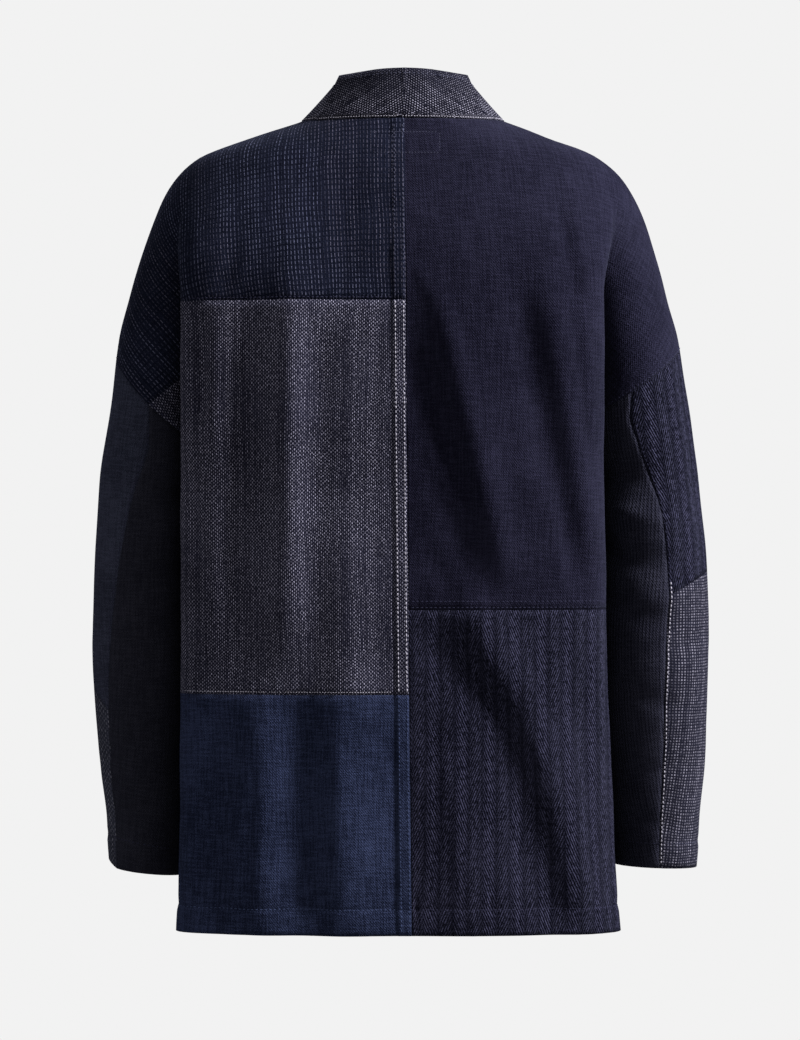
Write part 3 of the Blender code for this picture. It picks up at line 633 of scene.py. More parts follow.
def cuff_height(side, share):
    """Height of the cuff's edge, from its inner line, share 0, to its outermost one."""
    return mix(CUFF_INNER[side], CUFF_OUTER[side], arch(share))


def front_edge(side, height):
    """Half distance between the two front panels, which narrows down the V of the neck."""
    s = np.clip((height - NECK_POINT_RISE) / (V_DEPTH - NECK_POINT_RISE), 0.0, 1.0)
    neck = OUTER[side](NECK_POINT_RISE)
    return FRONT_EDGE + (neck - FRONT_EDGE) * (1.0 - s) ** V_CURVE


def even_stations(first, count, strip=()):
    """Stations from first to the armhole fold whose points lie evenly along the cloth, after
    those of a strip of narrow columns beside the centre seam."""
    fine = np.linspace(first, 1, EVEN_SAMPLES)
    section = body_point(1, 1, fine, np.full(len(fine), MIDDLE_LEVEL))
    length = np.concatenate([[0], np.cumsum(np.hypot(*np.diff(section[:, :2], axis=0).T))])
    start = strip[-1] if len(strip) else 0.0
    rest = np.linspace(start, length[-1], count - len(strip) + 1)
    return np.interp(np.concatenate([strip[:-1], rest]) if len(strip) else rest, length, fine)


def stations(side):
    """Places of the mesh's columns across one half of the body."""
    seam = 3.0 - SEAM_BACK[side](SLEEVE_TOP[side]) / 180.0
    return np.concatenate([
        even_stations(0.0, COLUMNS_PANEL + 1, STRIP_COLUMNS)[:-1],
        np.linspace(1, 2, COLUMNS_FOLD + 1)[:-1],
        np.linspace(2, seam, QUARTER_ARM + 1)[:-1],
        np.linspace(seam, 3, QUARTER_ARM + 1),
    ])


def armhole_rows(side):
    """Fractions of the way from the neck to the underarm, with a row on the yoke seam."""
    yoke = LEFT_YOKE_SEAM / UNDERARM[side]
    upper = yoke * np.linspace(0, 1, ROWS_YOKE + 1) ** ROW_SPREAD
    return np.concatenate([upper[:-1], np.linspace(yoke, 1, ROWS_ARMHOLE + 1)])


def lower_rows(side):
    """Heights from the underarm to the hem, with a row on the seam of the lower patch."""
    seam = LEFT_LOWER_SEAM if side > 0 else RIGHT_LOWER_SEAM
    share = (seam - UNDERARM[side]) / (HEM - UNDERARM[side])
    above = round(ROWS_BODY * share)
    first = np.linspace(UNDERARM[side], seam, above + 1)
    middle = np.linspace(seam, HEM_STITCH + HEM_STEP, ROWS_BODY - above - HEM_ROWS + 1)
    last = np.linspace(HEM_STITCH - HEM_STEP, HEM, HEM_ROWS)
    return np.concatenate([first, middle[1:], [HEM_STITCH], last]), above


def halve(test, low, high):
    """Halves the span between low and high towards the place where test turns false."""
    for _ in range(HALVINGS):
        middle = 0.5 * (low + high)
        inside = test(middle)
        low = np.where(inside, middle, low)
        high = np.where(inside, high, middle)
    return 0.5 * (low + high)


def front_top(side, across):
    """Height at which each column of the front panel meets the neck's edge."""
    def inside(height):
        x = side * body_point(side, -1, across, height)[:, 0]
        return x > front_edge(side, height)

    return halve(inside, np.full(len(across), V_DEPTH), np.full(len(across), NECK_POINT_RISE))


def edge_stations(side, heights):
    """Column station of the front edge at each height."""
    def before(station):
        x = side * body_point(side, -1, station, heights)[:, 0]
        return x < front_edge(side, heights)

    return halve(before, np.zeros(len(heights)), np.ones(len(heights)))


class Surface:
    """Middle surface of the whole jacket, gathered grid by grid and welded at the end. Each
    point keeps where it is: its side, face (back 1, front -1), station and whether it is on
    a sleeve or the band."""

    def __init__(self):
        self.points = []
        self.places = []
        self.quads = []
        self.owners = []
        self.count = 0

    def grid(self, points, place, owner, flip, split=None):
        """Adds a grid of points. owner holds a panel number for each cell; where split is true
        a cell is cut along its diagonal and the two halves take the names beside it."""
        rows, columns = points.shape[:2]
        index = self.count + np.arange(rows * columns).reshape(rows, columns)
        a, b = index[:-1, :-1], index[:-1, 1:]
        d, e = index[1:, :-1], index[1:, 1:]
        quads = np.stack([a, b, e, d], -1)
        owner = np.broadcast_to(owner, a.shape)
        if split is None:
            split = np.zeros(a.shape, bool)
        kept = ~split
        pieces = [quads[kept]]
        names = [owner[kept]]
        if split.any():
            row, col = np.nonzero(split)
            pieces.append(np.stack([a, b, e, e], -1)[split])
            names.append(owner[row - 1, col])
            pieces.append(np.stack([a, e, d, d], -1)[split])
            names.append(owner[np.minimum(row + 1, rows - 2), col - 1])
        for quad, name in zip(pieces, names):
            self.quads.append(quad[:, ::-1] if flip else quad)
            self.owners.append(name)
        self.points.append(points.reshape(-1, 3))
        self.places.append(np.broadcast_to(place, (rows, columns, 4)).reshape(-1, 4))
        self.count += rows * columns

    def weld(self):
        points = np.concatenate(self.points)
        quads = np.concatenate(self.quads)
        owners = np.concatenate(self.owners)
        mesh = bpy.data.meshes.new("middle")
        mesh.from_pydata(points, [], [])
        work = bmesh.new()
        work.from_mesh(mesh)
        work.verts.ensure_lookup_table()
        found = bmesh.ops.find_doubles(work, verts=work.verts, dist=WELD_DISTANCE)["targetmap"]
        target = np.arange(len(points))
        for vertex, other in found.items():
            target[vertex.index] = other.index
        target = target[target]
        work.free()
        bpy.data.meshes.remove(mesh)
        used, place = np.unique(target, return_inverse=True)
        self.at = points[used]
        self.place = np.concatenate(self.places)[used]
        self.face = place.reshape(-1)[quads]
        self.owner = owners


def placing(side, face, station, sleeve):
    """Side, face, station and sleeve mark of a grid of points."""
    station = np.asarray(station, float)
    return np.stack(np.broadcast_arrays(side, face, station, sleeve), -1)


def back_panels(surface, side):
    across = stations(side)
    arm = np.clip(across - 2, 0, 1)
    share = armhole_rows(side)[:, None]
    top = NECK_POINT_RISE * (across / 3.0) ** 2
    bottom = armhole_height(side, arm)
    drag = np.where(across > 1, smooth(1, 2, np.minimum(across, 2)) * (1 - arm), 0)
    heights = mix(top[None], bottom[None], share)
    heights = heights - FOLD_DROP * drag[None] * np.sin(np.pi * share) ** 2
    station = np.broadcast_to(across, heights.shape)
    upper = body_point(side, 1, station, heights)
    row = np.arange(heights.shape[0] - 1)[:, None]
    col = np.arange(heights.shape[1] - 1)[None]
    if side > 0:
        below = row - ROWS_YOKE - np.maximum(0, col - CREASE_COLUMN) >= 0
        owner = np.where(below, NUMBER["back_left_middle"], NUMBER["back_left_upper"])
        split = (col >= CREASE_COLUMN) & (row - ROWS_YOKE == col - CREASE_COLUMN)
    else:
        owner, split = NUMBER["back_right_upper"], None
    surface.grid(upper, placing(side, 1, station, 0), owner, side < 0, split)

    levels, seam_row = lower_rows(side)
    torso = across[: CREASE_COLUMN + 1]
    station, level = np.meshgrid(torso, levels)
    lower = body_point(side, 1, station, level)
    above = "back_left_middle" if side > 0 else "back_right_upper"
    below = f"back_{SIDE_NAME[side]}_lower"
    row = np.arange(len(levels) - 1)[:, None]
    owner = np.where(row < seam_row, NUMBER[above], NUMBER[below])
    surface.grid(lower, placing(side, 1, station, 0), owner, side < 0)
    return upper


def straight_edge(side, station, heights, columns, first):
    """Slides the columns near the front so that the first keeps its distance from the centre."""
    edge = edge_stations(side, heights[:, 0])
    nearness = np.clip((1 - columns) / (1 - first), 0, 1)
    return station + (edge[:, None] - first) * nearness[None]


def front_panels(surface, side):
    across = stations(side)
    first = edge_stations(side, np.array([V_DEPTH]))[0]
    body = np.concatenate([even_stations(first, COLUMNS_PANEL - 1)[:-1], across[COLUMNS_PANEL:]])
    arm = np.clip(body - 2, 0, 1)
    share = armhole_rows(side)[:, None]
    heights = mix(front_top(side, body)[None], armhole_height(side, arm)[None], share)
    station = straight_edge(side, np.broadcast_to(body, heights.shape), heights, body, first)
    upper = body_point(side, -1, station, heights)
    owner = NUMBER["front_" + SIDE_NAME[side]]
    surface.grid(upper, placing(side, -1, station, 0), owner, side > 0)
    levels, _ = lower_rows(side)
    columns, level = np.meshgrid(body[:CREASE_COLUMN], levels)
    station = straight_edge(side, columns, level, body[:CREASE_COLUMN], first)
    lower = body_point(side, -1, station, level)
    surface.grid(lower, placing(side, -1, station, 0), owner, side > 0)
    return upper, lower


def sleeve(surface, side):
    seam_top = math.radians(float(SEAM_BACK[side](SLEEVE_TOP[side])))
    half = np.concatenate([
        np.linspace(np.pi, seam_top, QUARTER_ARM + 1)[:-1],
        np.linspace(seam_top, 0.0, QUARTER_ARM + 1),
    ])
    size = np.concatenate([half, half[-2::-1]])
    face = np.where(np.arange(len(size)) <= 2 * QUARTER_ARM, 1, -1)
    rows = np.linspace(0, 1, ROWS_SLEEVE + 1)[:, None]
    share = 1.0 - size / np.pi
    height = mix(armhole_height(side, share)[None], cuff_height(side, share)[None], rows)
    seam_at = np.where(face > 0, SEAM_BACK[side](height), SEAM_FRONT[side](height))
    seam_now = np.radians(mix(np.degrees(seam_top), seam_at, smooth(0.0, SEAM_SETTLE, rows)))
    outer = size / seam_top * seam_now
    inner = np.pi - (np.pi - size) / (np.pi - seam_top) * (np.pi - seam_now)
    angle = np.where(size <= seam_top, outer, inner)
    hold = crease(side, face, height)
    held = np.stack(arm_point(side, face, angle / np.pi, height, hold))
    free = np.stack(arm_point(side, face, angle, height))
    x, y = np.where(height > UNDERARM[side], held, free)
    signed = face * np.degrees(angle)
    dent = wrinkle(WRINKLES, side, signed, height) * smooth(0.0, FOLD_SETTLE, rows)
    middle_x = 0.5 * (OUTER[side](height) + INNER[side](height))
    middle_y = ARM_MIDDLE(height)
    out_x, out_y = x - middle_x, y - middle_y
    keep = 1.0 - dent / np.hypot(out_x, out_y)
    points = np.stack([side * (middle_x + out_x * keep), middle_y + out_y * keep, height], -1)
    down = (PATCH_LEVEL[side] - SLEEVE_TOP[side]) / (CUFF_OUTER[side] - SLEEVE_TOP[side])
    split_row = round(ROWS_SLEEVE * down)
    row = np.arange(ROWS_SLEEVE)[:, None]
    col = np.arange(len(size) - 1)[None]
    name = f"sleeve_{SIDE_NAME[side]}_"
    outside = np.where(row < split_row, NUMBER[name + "outer_upper"], NUMBER[name + "outer_lower"])
    owner = np.where((col >= QUARTER_ARM) & (col < 3 * QUARTER_ARM), outside, NUMBER[name + "inner"])
    surface.grid(points, placing(side, face, signed, 1), owner, side < 0)


def wrinkle(table, side, angle, height):
    """Summed depth of a table's sleeve folds at a place on a sleeve."""
    total = np.zeros(np.broadcast(angle, height).shape)
    for fold in table:
        if fold.side != side:
            continue
        off = (angle - fold.angle + 180.0) % 360.0 - 180.0
        level = fold.height + fold.slant * off
        near = bell(off, fold.half_angle) * bell(height - level, fold.half_height)
        total = total + fold.depth * near
    return total


def unit(vectors):
    length = np.linalg.norm(vectors, axis=-1, keepdims=True)
    return vectors / np.where(length > 0, length, 1.0)


def collar_band(surface, backs, fronts):
    """A band that starts on the neck and front edges and follows them with a constant width."""
    path, inside, stand = band_edges(backs, fronts)
    after = np.concatenate([path[1:], path[-1:]])
    before = np.concatenate([path[:1], path[:-1]])
    tangent = unit(after - before)
    away = path - inside
    away = unit(away - tangent * (away * tangent).sum(-1, keepdims=True))
    up = np.cross(away, tangent)
    flat = away * np.cos(stand)[:, None] + up * np.sin(stand)[:, None]
    upright = smooth(NECK_FRONT, NECK_BACK, path[:, 1])[:, None]
    ways = mix(flat, standing(path), upright)
    for _ in range(BAND_SMOOTHING):
        padded = np.concatenate([ways[:1], ways, ways[-1:]])
        ways = unit(0.25 * padded[:-2] + 0.5 * ways + 0.25 * padded[2:])
    share = np.linspace(0, 1, BAND_STRIPS + 1)[:, None, None]
    points = path[None] + ways[None] * BAND_WIDTH * share
    length = np.concatenate([[0], np.cumsum(np.linalg.norm(np.diff(path, axis=0), axis=1))])
    nape = np.argmin(np.abs(path[:, 0]) - path[:, 1] * 0.5)
    along = length - length[nape]
    place = placing(0, share[:, :, 0] * BAND_WIDTH, along[None], 2)
    surface.grid(points, place, NUMBER["collar_band"], False)
    return path, ways


def standing(place):
    """Direction of the band where it stands up behind the neck and leans in over its sides."""
    centre = np.stack([0 * place[:, 0], 0 * place[:, 0] + NECK_MIDDLE, place[:, 2]], -1)
    share = np.abs(place[:, 0]) / OUTER[1](NECK_POINT_RISE)
    lean = mix(LEAN_NAPE, LEAN_NECK, share**LEAN_CURVE)
    rise = np.sqrt(np.maximum(0.0, 1.0 - lean**2))
    return unit(centre - place) * lean[:, None] + np.stack([0 * rise, 0 * rise, rise], -1)


def band_edges(backs, fronts):
    """The neck and front edges from the left hem, round the neck, to the right hem."""
    path, inside, stand = [], [], []
    for side in (1, -1):
        upper, lower = fronts[side]
        back = backs[side]
        columns = upper.shape[1]
        next_column = np.minimum(np.arange(1, columns) + BAND_FOLLOW_ROWS, columns - 1)
        pieces = [
            (lower[::-1, 0], lower[::-1, 1]),
            (upper[::-1, 0][1:], upper[::-1, 1][1:]),
            (upper[0, 1:], upper[BAND_FOLLOW_ROWS, next_column]),
            (back[0, ::-1][1:], back[BAND_FOLLOW_ROWS, ::-1][1:]),
        ]
        along = np.concatenate([piece[0] for piece in pieces])
        within = np.concatenate([piece[1] for piece in pieces])
        rise = BAND_STAND * smooth(BAND_STAND_FROM, BAND_STAND_TO, along[:, 1])
        if side < 0:
            along, within, rise = along[::-1][1:], within[::-1][1:], rise[::-1][1:]
        path.append(along)
        inside.append(within)
        stand.append(rise)
    return np.concatenate(path), np.concatenate(inside), np.concatenate(stand)


def normals_of(surface):
    """Area-weighted normals of the welded points. Those on the centre back face straight back,
    and those at the underarms straight down."""
    at, face = surface.at, surface.face
    across = at[face[:, 2]] - at[face[:, 0]]
    other = at[face[:, 3]] - at[face[:, 1]]
    normal = np.cross(across, other)
    total = np.zeros(at.shape)
    for corner in range(4):
        np.add.at(total, face[:, corner], normal)
    total[on_centre(surface), 0] = 0.0
    for side in (1, -1):
        corner = body_point(side, 1, 2.0, UNDERARM[side])
        near = np.linalg.norm(at - corner, axis=1) < UNDERARM_TOLERANCE
        total[near] = (0.0, 0.0, -1.0)
    return unit(total)


def on_centre(surface):
    """Points of the centre back seam, where the rows of the two halves differ."""
    side, face, station, kind = surface.place.T
    return (station < CENTRE_TOLERANCE) & (face > 0) & (kind == 0)


def build_surface():
    surface = Surface()
    backs = {side: back_panels(surface, side) for side in (1, -1)}
    fronts = {side: front_panels(surface, side) for side in (1, -1)}
    for side in (1, -1):
        sleeve(surface, side)
    surface.band = collar_band(surface, backs, fronts)
    surface.weld()
    return surface


def ripple(along, spacing, seed):
    """An uneven wave along a seam."""
    def wave(stretch, shift):
        return np.sin(2 * np.pi * along / (stretch * spacing) + shift * seed)

    swell = 0.55 + 0.3 * wave(4.7, 0.8) + 0.25 * wave(9.1, 2.3)
    return (0.6 * wave(1.0, 1.7) + 0.4 * wave(0.63, 2.9)) * swell


def puckers(spacing, rise, reach, off, along, seed):
    """Ripples along a seam that die away with the distance from it."""
    return rise * tail(off, reach) * ripple(along, spacing, seed)


def turned_edge(height, stitch, full, groove, width):
    """Height of the cloth doubled by a hem, with the groove that its stitches press in."""
    return HEM_RISE * smooth(stitch + 1.0, stitch - full, height) - groove * bell(height - stitch, width)


def undulation(at):
    """Soft unevenness of worn cloth, between -1 and 1."""
    x, y, z = at.T / UNDULATION_SPAN
    wave = np.sin(1.3 * x + 0.7 * z + 1.1 * np.sin(0.53 * z + 0.9 * y))
    wave = wave + np.sin(0.8 * z - 1.1 * y + 1.3 * np.sin(0.71 * x))
    wave = wave + 0.6 * np.sin(2.3 * x + 1.9 * z + 1.7 * y)
    return wave / 2.6


def torso_detail(surface):
    """Height of the finer creases, puckers, fell and hem on the torso."""
    x, height = surface.at[:, 0], surface.at[:, 2]
    side, face, station, kind = surface.place.T
    rise = np.zeros(len(x))
    for own_face, table in ((1, BACK_CREASES), (-1, FRONT_CREASES)):
        rise += drape(x, height, table) * (1.0 - smooth(*CREASE_EDGE, station)) * (face == own_face)
    flat = 1.0 - smooth(*PUCKER_EDGE, station)
    for seed, row in enumerate(PUCKERS):
        within = (x >= row.x_low) & (x <= row.x_high) & (face == row.face)
        rows = puckers(row.spacing, row.rise, row.reach, height - row.level, x, seed)
        rise += rows * within * flat
    off = x - centre_seam(height)
    rows = puckers(*CENTRE_PUCKER, off, height + 9.0 * side, 3.0 + side)
    rise += rows * (1.0 - tail(off, CENTRE_CALM)) * flat * (face > 0)
    fell = FELL_RISE * (off > 0) * (1.0 - smooth(FELL_WIDTH, FELL_WIDTH + FELL_FADE, off))
    fell = fell - FELL_GROOVE * bell(off - FELL_WIDTH - FELL_GROOVE_AT, FELL_GROOVE_WIDTH)
    rise += fell * (face > 0)
    rise += turned_edge(height, HEM_STITCH, *HEM_EDGE)
    return rise * (kind == 0)


def arm_detail(surface, side):
    """The same on one sleeve and on the shoulder above it."""
    height = surface.at[:, 2]
    own_side, face, station, kind = surface.place.T
    angle = np.where(kind == 1, station, face * (3.0 - np.clip(station, 2, 3)) * 180.0)
    share = 1.0 - np.abs(angle) / 180.0
    stitch = cuff_height(side, share) + CUFF_TURN
    rise = -wrinkle(FINE_WRINKLES, side, angle, height)
    rise += puckers(*ARMHOLE_PUCKER, height - armhole_height(side, share), angle, side + 5.0)
    rise += puckers(*CUFF_PUCKER, height - stitch, angle, side + 9.0)
    rise += turned_edge(height, stitch, *CUFF_EDGE)
    on_arm = np.where(kind == 1, 1.0, (kind == 0) * smooth(2.0, 2.4, station))
    return rise * on_arm * (np.sign(own_side) == side)


def displace(surface):
    """Moves the middle surface by its finer detail. The centre seam is half as high as the fell."""
    normals = normals_of(surface)
    rise = torso_detail(surface) + arm_detail(surface, 1) + arm_detail(surface, -1)
    rise += UNDULATION * undulation(surface.at) * (surface.place[:, 3] != 2)
    rise[on_centre(surface)] = 0.5 * FELL_RISE
    surface.at = surface.at + normals * rise[:, None]
    surface.normals = normals_of(surface)
    turned = (surface.normals * normals).sum(-1) < LEAST_AGREEMENT
    surface.normals[turned] = normals[turned]


def add_object(name, data):
    item = bpy.data.objects.new(name, data)
    bpy.context.scene.collection.objects.link(item)
    return item


class Panel:
    """One panel's part of the middle surface, with a narrow ring of faces along its edges."""

    def __init__(self, surface, name):
        self.name = name
        faces = surface.face[surface.owner == NUMBER[name]]
        used, place = np.unique(faces, return_inverse=True)
        place = place.reshape(faces.shape)
        work = bmesh.new()
        source = work.verts.layers.int.new("source")
        corners = [work.verts.new(surface.at[k]) for k in used]
        for k, corner in zip(used, corners):
            corner[source] = int(k)
        for face in place:
            ring = []
            for k in face:
                if corners[k] not in ring:
                    ring.append(corners[k])
            if len(ring) > 2 and work.faces.get(ring) is None:
                work.faces.new(ring)
        bmesh.ops.inset_region(
            work, faces=work.faces[:], use_boundary=True, use_even_offset=True,
            thickness=EDGE_RING, depth=0.0, use_interpolate=True,
        )
        work.verts.ensure_lookup_table()
        work.verts.index_update()
        self.at = np.array([corner.co for corner in work.verts])
        origin = np.array([corner[source] for corner in work.verts])
        self.normal = surface.normals[origin]
        self.place = surface.place[origin]
        self.faces = [[corner.index for corner in face.verts] for face in work.faces]
        self.rim = [
            (loop.vert.index, loop.link_loop_next.vert.index)
            for edge in work.edges if edge.is_boundary for loop in edge.link_loops
        ]
        self.edge = np.zeros(len(self.at), bool)
        self.edge[[corner for pair in self.rim for corner in pair]] = True
        self.flat = self.flatten(work)
        work.free()

    def flatten(self, work):
        """Places of the points on the flat cloth, in millimetres, with its grain upright."""
        if self.name == "collar_band":
            return self.place[:, 1:3].copy()
        mesh = bpy.data.meshes.new("flat")
        work.to_mesh(mesh)
        mesh.uv_layers.new(name="flat")
        piece = add_object("flat", mesh)
        bpy.context.view_layer.objects.active = piece
        piece.select_set(True)
        bpy.ops.object.mode_set(mode="EDIT")
        bpy.ops.mesh.select_all(action="SELECT")
        bpy.ops.uv.unwrap(method="CONFORMAL", margin=0.0)
        bpy.ops.object.mode_set(mode="OBJECT")
        mesh = piece.data
        corner = np.zeros(len(mesh.loops), int)
        mesh.loops.foreach_get("vertex_index", corner)
        place = np.zeros(2 * len(mesh.loops))
        mesh.uv_layers[0].data.foreach_get("uv", place)
        flat = np.zeros((len(self.at), 2))
        flat[corner] = place.reshape(-1, 2)
        bpy.data.objects.remove(piece, do_unlink=True)
        return self.upright(flat)

    def upright(self, flat):
        """Turns and scales a flattened panel to the cloth's real size, with its grain along v."""
        quads = np.array([(face + face[-1:])[:4] for face in self.faces])
        drawn = quad_areas(np.pad(flat, ((0, 0), (0, 1))), quads)
        flat = flat * math.sqrt(quad_areas(self.at, quads) / drawn)
        side, face, station, kind = self.place.T
        if self.name.startswith("sleeve"):
            near = kind == 1
            angle = station % 360.0 if self.name.endswith("inner") else station
            across = side * angle * ARM_DEGREE
        else:
            near = station < GRAIN_REACH
            across = -face * self.at[:, 0]
        worn_place = across[near] + 1j * self.at[near, 2]
        worn_place = worn_place - worn_place.mean()
        drawn_place = flat[near, 0] + 1j * flat[near, 1]
        turn = (worn_place * np.conj(drawn_place - drawn_place.mean())).sum()
        turned = (flat[:, 0] + 1j * flat[:, 1]) * turn / np.abs(turn)
        return np.stack([turned.real, turned.imag], -1)


def quad_areas(points, quads):
    """Summed area of four-cornered faces; a triangle has its last corner twice."""
    first = points[quads[:, 2]] - points[quads[:, 0]]
    second = points[quads[:, 3]] - points[quads[:, 1]]
    return 0.5 * np.linalg.norm(np.cross(first, second), axis=1).sum()


def shell(panel, thickness):
    """A closed thin shell round a panel, whose outer edges dip into the seams."""
    half = 0.5 * thickness
    outer = panel.at + panel.normal * (half - EDGE_DIP * panel.edge)[:, None]
    inner = panel.at - panel.normal * half
    count = len(panel.at)
    faces = [tuple(face) for face in panel.faces]
    faces += [tuple(count + corner for corner in reversed(face)) for face in panel.faces]
    faces += [(b, a, count + a, count + b) for a, b in panel.rim]
    mesh = bpy.data.meshes.new(panel.name)
    mesh.from_pydata(np.concatenate([outer, inner]) * MM, [], faces)
    mesh.shade_smooth()
    for face in mesh.polygons[-len(panel.rim):]:
        face.use_smooth = False
    layer = mesh.uv_layers.new(name="cloth")
    corner = np.zeros(len(mesh.loops), int)
    mesh.loops.foreach_get("vertex_index", corner)
    flat = np.concatenate([panel.flat, panel.flat])[corner] * MM
    layer.data.foreach_set("uv", flat.ravel())
    return add_object(panel.name + "_cloth", mesh)


class Wire:
    """A number in a shader's node tree, whose arithmetic adds the nodes."""

    def __init__(self, tree, socket):
        self.tree = tree
        self.socket = socket

    def combine(self, operation, *others):
        node = self.tree.nodes.new("ShaderNodeMath")
        node.operation = operation
        for place, item in enumerate((self,) + others):
            connect(self.tree, item, node.inputs[place])
        return Wire(self.tree, node.outputs[0])

    def __add__(self, other):
        return self.combine("ADD", other)

    def __sub__(self, other):
        return self.combine("SUBTRACT", other)

    def __mul__(self, other):
        return self.combine("MULTIPLY", other)

    def floor(self):
        return self.combine("FLOOR")

    def fraction(self):
        return self.combine("FRACT")

    def size(self):
        return self.combine("ABSOLUTE")

    def sine(self):
        return self.combine("SINE")

    def between(self, low, high, start=0.0, end=1.0):
        """Goes smoothly from start to end as the number goes from low to high."""
        node = self.tree.nodes.new("ShaderNodeMapRange")
        node.interpolation_type = "SMOOTHSTEP"
        connect(self.tree, self, node.inputs["Value"])
        for name, value in (("From Min", low), ("From Max", high), ("To Min", start), ("To Max", end)):
            node.inputs[name].default_value = value
        return Wire(self.tree, node.outputs["Result"])


def connect(tree, item, socket):
    if isinstance(item, Wire):
        tree.links.new(item.socket, socket)
    else:
        socket.default_value = item


class Cloth:
    """A woven finish in the making: u and v are the place on the flat cloth in millimetres."""

    def __init__(self, name):
        self.material = bpy.data.materials.new(name)
        self.material.use_nodes = True
        self.tree = self.material.node_tree
        self.shader = self.tree.nodes["Principled BSDF"]
        place = self.tree.nodes.new("ShaderNodeUVMap")
        place.uv_map = "cloth"
        parts = self.tree.nodes.new("ShaderNodeSeparateXYZ")
        self.tree.links.new(place.outputs["UV"], parts.inputs["Vector"])
        self.u = Wire(self.tree, parts.outputs["X"]) * (1.0 / MM)
        self.v = Wire(self.tree, parts.outputs["Y"]) * (1.0 / MM)

    def vector(self, x, y):
        node = self.tree.nodes.new("ShaderNodeCombineXYZ")
        connect(self.tree, x, node.inputs["X"])
        connect(self.tree, y, node.inputs["Y"])
        return node.outputs["Vector"]

    def noise(self, scale_u, scale_v, detail=2.0):
        """Noise over the cloth, with a scale of its own across the grain and along it."""
        node = self.tree.nodes.new("ShaderNodeTexNoise")
        node.noise_dimensions = "2D"
        node.inputs["Scale"].default_value = 1.0
        node.inputs["Detail"].default_value = detail
        place = self.vector(self.u * scale_u, self.v * scale_v)
        self.tree.links.new(place, node.inputs["Vector"])
        return Wire(self.tree, node.outputs["Fac"])

    def chance(self, x, y):
        """A random number between 0 and 1 for each whole x and y."""
        node = self.tree.nodes.new("ShaderNodeTexWhiteNoise")
        node.noise_dimensions = "2D"
        self.tree.links.new(self.vector(x, y), node.inputs["Vector"])
        return Wire(self.tree, node.outputs["Value"])

    def blend(self, first, second, share):
        node = self.tree.nodes.new("ShaderNodeMix")
        node.data_type = "RGBA"
        connect(self.tree, share, node.inputs["Factor"])
        for item, socket in ((first, node.inputs[6]), (second, node.inputs[7])):
            if isinstance(item, tuple):
                socket.default_value = (*item, 1.0)
            else:
                self.tree.links.new(item, socket)
        return node.outputs[2]

    def finish(self, colour, height, roughness, bump, sheen=SHEEN):
        self.tree.links.new(colour, self.shader.inputs["Base Color"])
        node = self.tree.nodes.new("ShaderNodeBump")
        node.inputs["Strength"].default_value = bump
        node.inputs["Distance"].default_value = BUMP_DISTANCE
        self.tree.links.new(height.socket, node.inputs["Height"])
        self.tree.links.new(node.outputs["Normal"], self.shader.inputs["Normal"])
        for name, value in (
            ("Roughness", roughness), ("Specular IOR Level", 0.0), ("Sheen Weight", sheen),
            ("Sheen Roughness", SHEEN_ROUGHNESS), ("Sheen Tint", SHEEN_TINT),
        ):
            self.shader.inputs[name].default_value = value
        return self.material


def worn(cloth, dark, pale, reach=90.0):
    """Ground colour with broad fading, upright and level slub lines and fine thread noise, and
    the relief of its threads."""
    broad = cloth.noise(1.0 / reach, 1.0 / reach, 3.0)
    warp = cloth.noise(0.55, 0.03)
    weft = cloth.noise(0.05, 0.45)
    fine = cloth.noise(0.8, 0.8, 1.0)
    share = broad.between(0.35, 0.65) * 0.3 + warp.between(0.35, 0.65) * 0.35
    share = share + weft.between(0.4, 0.65) * 0.3 + fine.between(0.4, 0.65) * 0.45 - 0.2
    return cloth.blend(dark, pale, share), warp * 1.2 + weft + fine * 1.6


def threads(cloth, pitch_u, pitch_v):
    """Relief of a plain weave."""
    across = (cloth.u * (2 * math.pi / pitch_u)).sine()
    along = (cloth.v * (2 * math.pi / pitch_v)).sine()
    return across * along


def stitch_cells(cloth, u, v, pitch_u, pitch_v, stagger, half_width, half_length):
    """Short upright stitches in columns. Gives their mask and a chance for each column and
    each stitch."""
    col = (u * (1.0 / pitch_u)).floor()
    across = (u * (1.0 / pitch_u)).fraction() - 0.5
    lift = cloth.chance(col, 3.7) * 0.12 + col * stagger
    along = v * (1.0 / pitch_v) + lift
    row = along.floor()
    within = along.fraction() - 0.5
    mask = across.size().between(half_width, half_width + STITCH_SOFTNESS, 1.0, 0.0)
    mask = mask * within.size().between(half_length, half_length + STITCH_SOFTNESS, 1.0, 0.0)
    return mask, cloth.chance(col, 0.5), cloth.chance(col, row)


def stitched_cloth(name, ground, pale, thread, cell, strength, tint=None):
    """Cloth with a figure of raised stitches. strength: least, share by column, share by stitch,
    share by broad patches."""
    cloth = Cloth(name)
    colour, relief = worn(cloth, ground, pale)
    u = cloth.u + cloth.noise(0.02, 0.012) * 5.0
    v = cloth.v + cloth.noise(0.015, 0.02) * 6.0
    mask, by_column, by_stitch = stitch_cells(cloth, u, v, *cell)
    least, column_share, stitch_share, patch_share = strength
    patch = cloth.noise(0.012, 0.009).between(0.35, 0.65)
    level = by_column * column_share + by_stitch * stitch_share + patch * patch_share + least
    ragged = cloth.noise(0.5, 0.3, 1.0).between(0.35, 0.62, 0.35, 1.25)
    if tint:
        thread = cloth.blend(thread, tint, cloth.noise(0.011, 0.004, 1.0).between(0.4, 0.6))
    return raised(cloth, colour, relief, thread, mask, mask * level * ragged)


def raised(cloth, colour, relief, thread, mask, shown):
    """Ends a cloth whose stitches, or flecks, stand up from its ground."""
    colour = cloth.blend(colour, thread, shown)
    return cloth.finish(colour, mask * 1.6 + relief * 0.5, *STITCHED_FINISH)


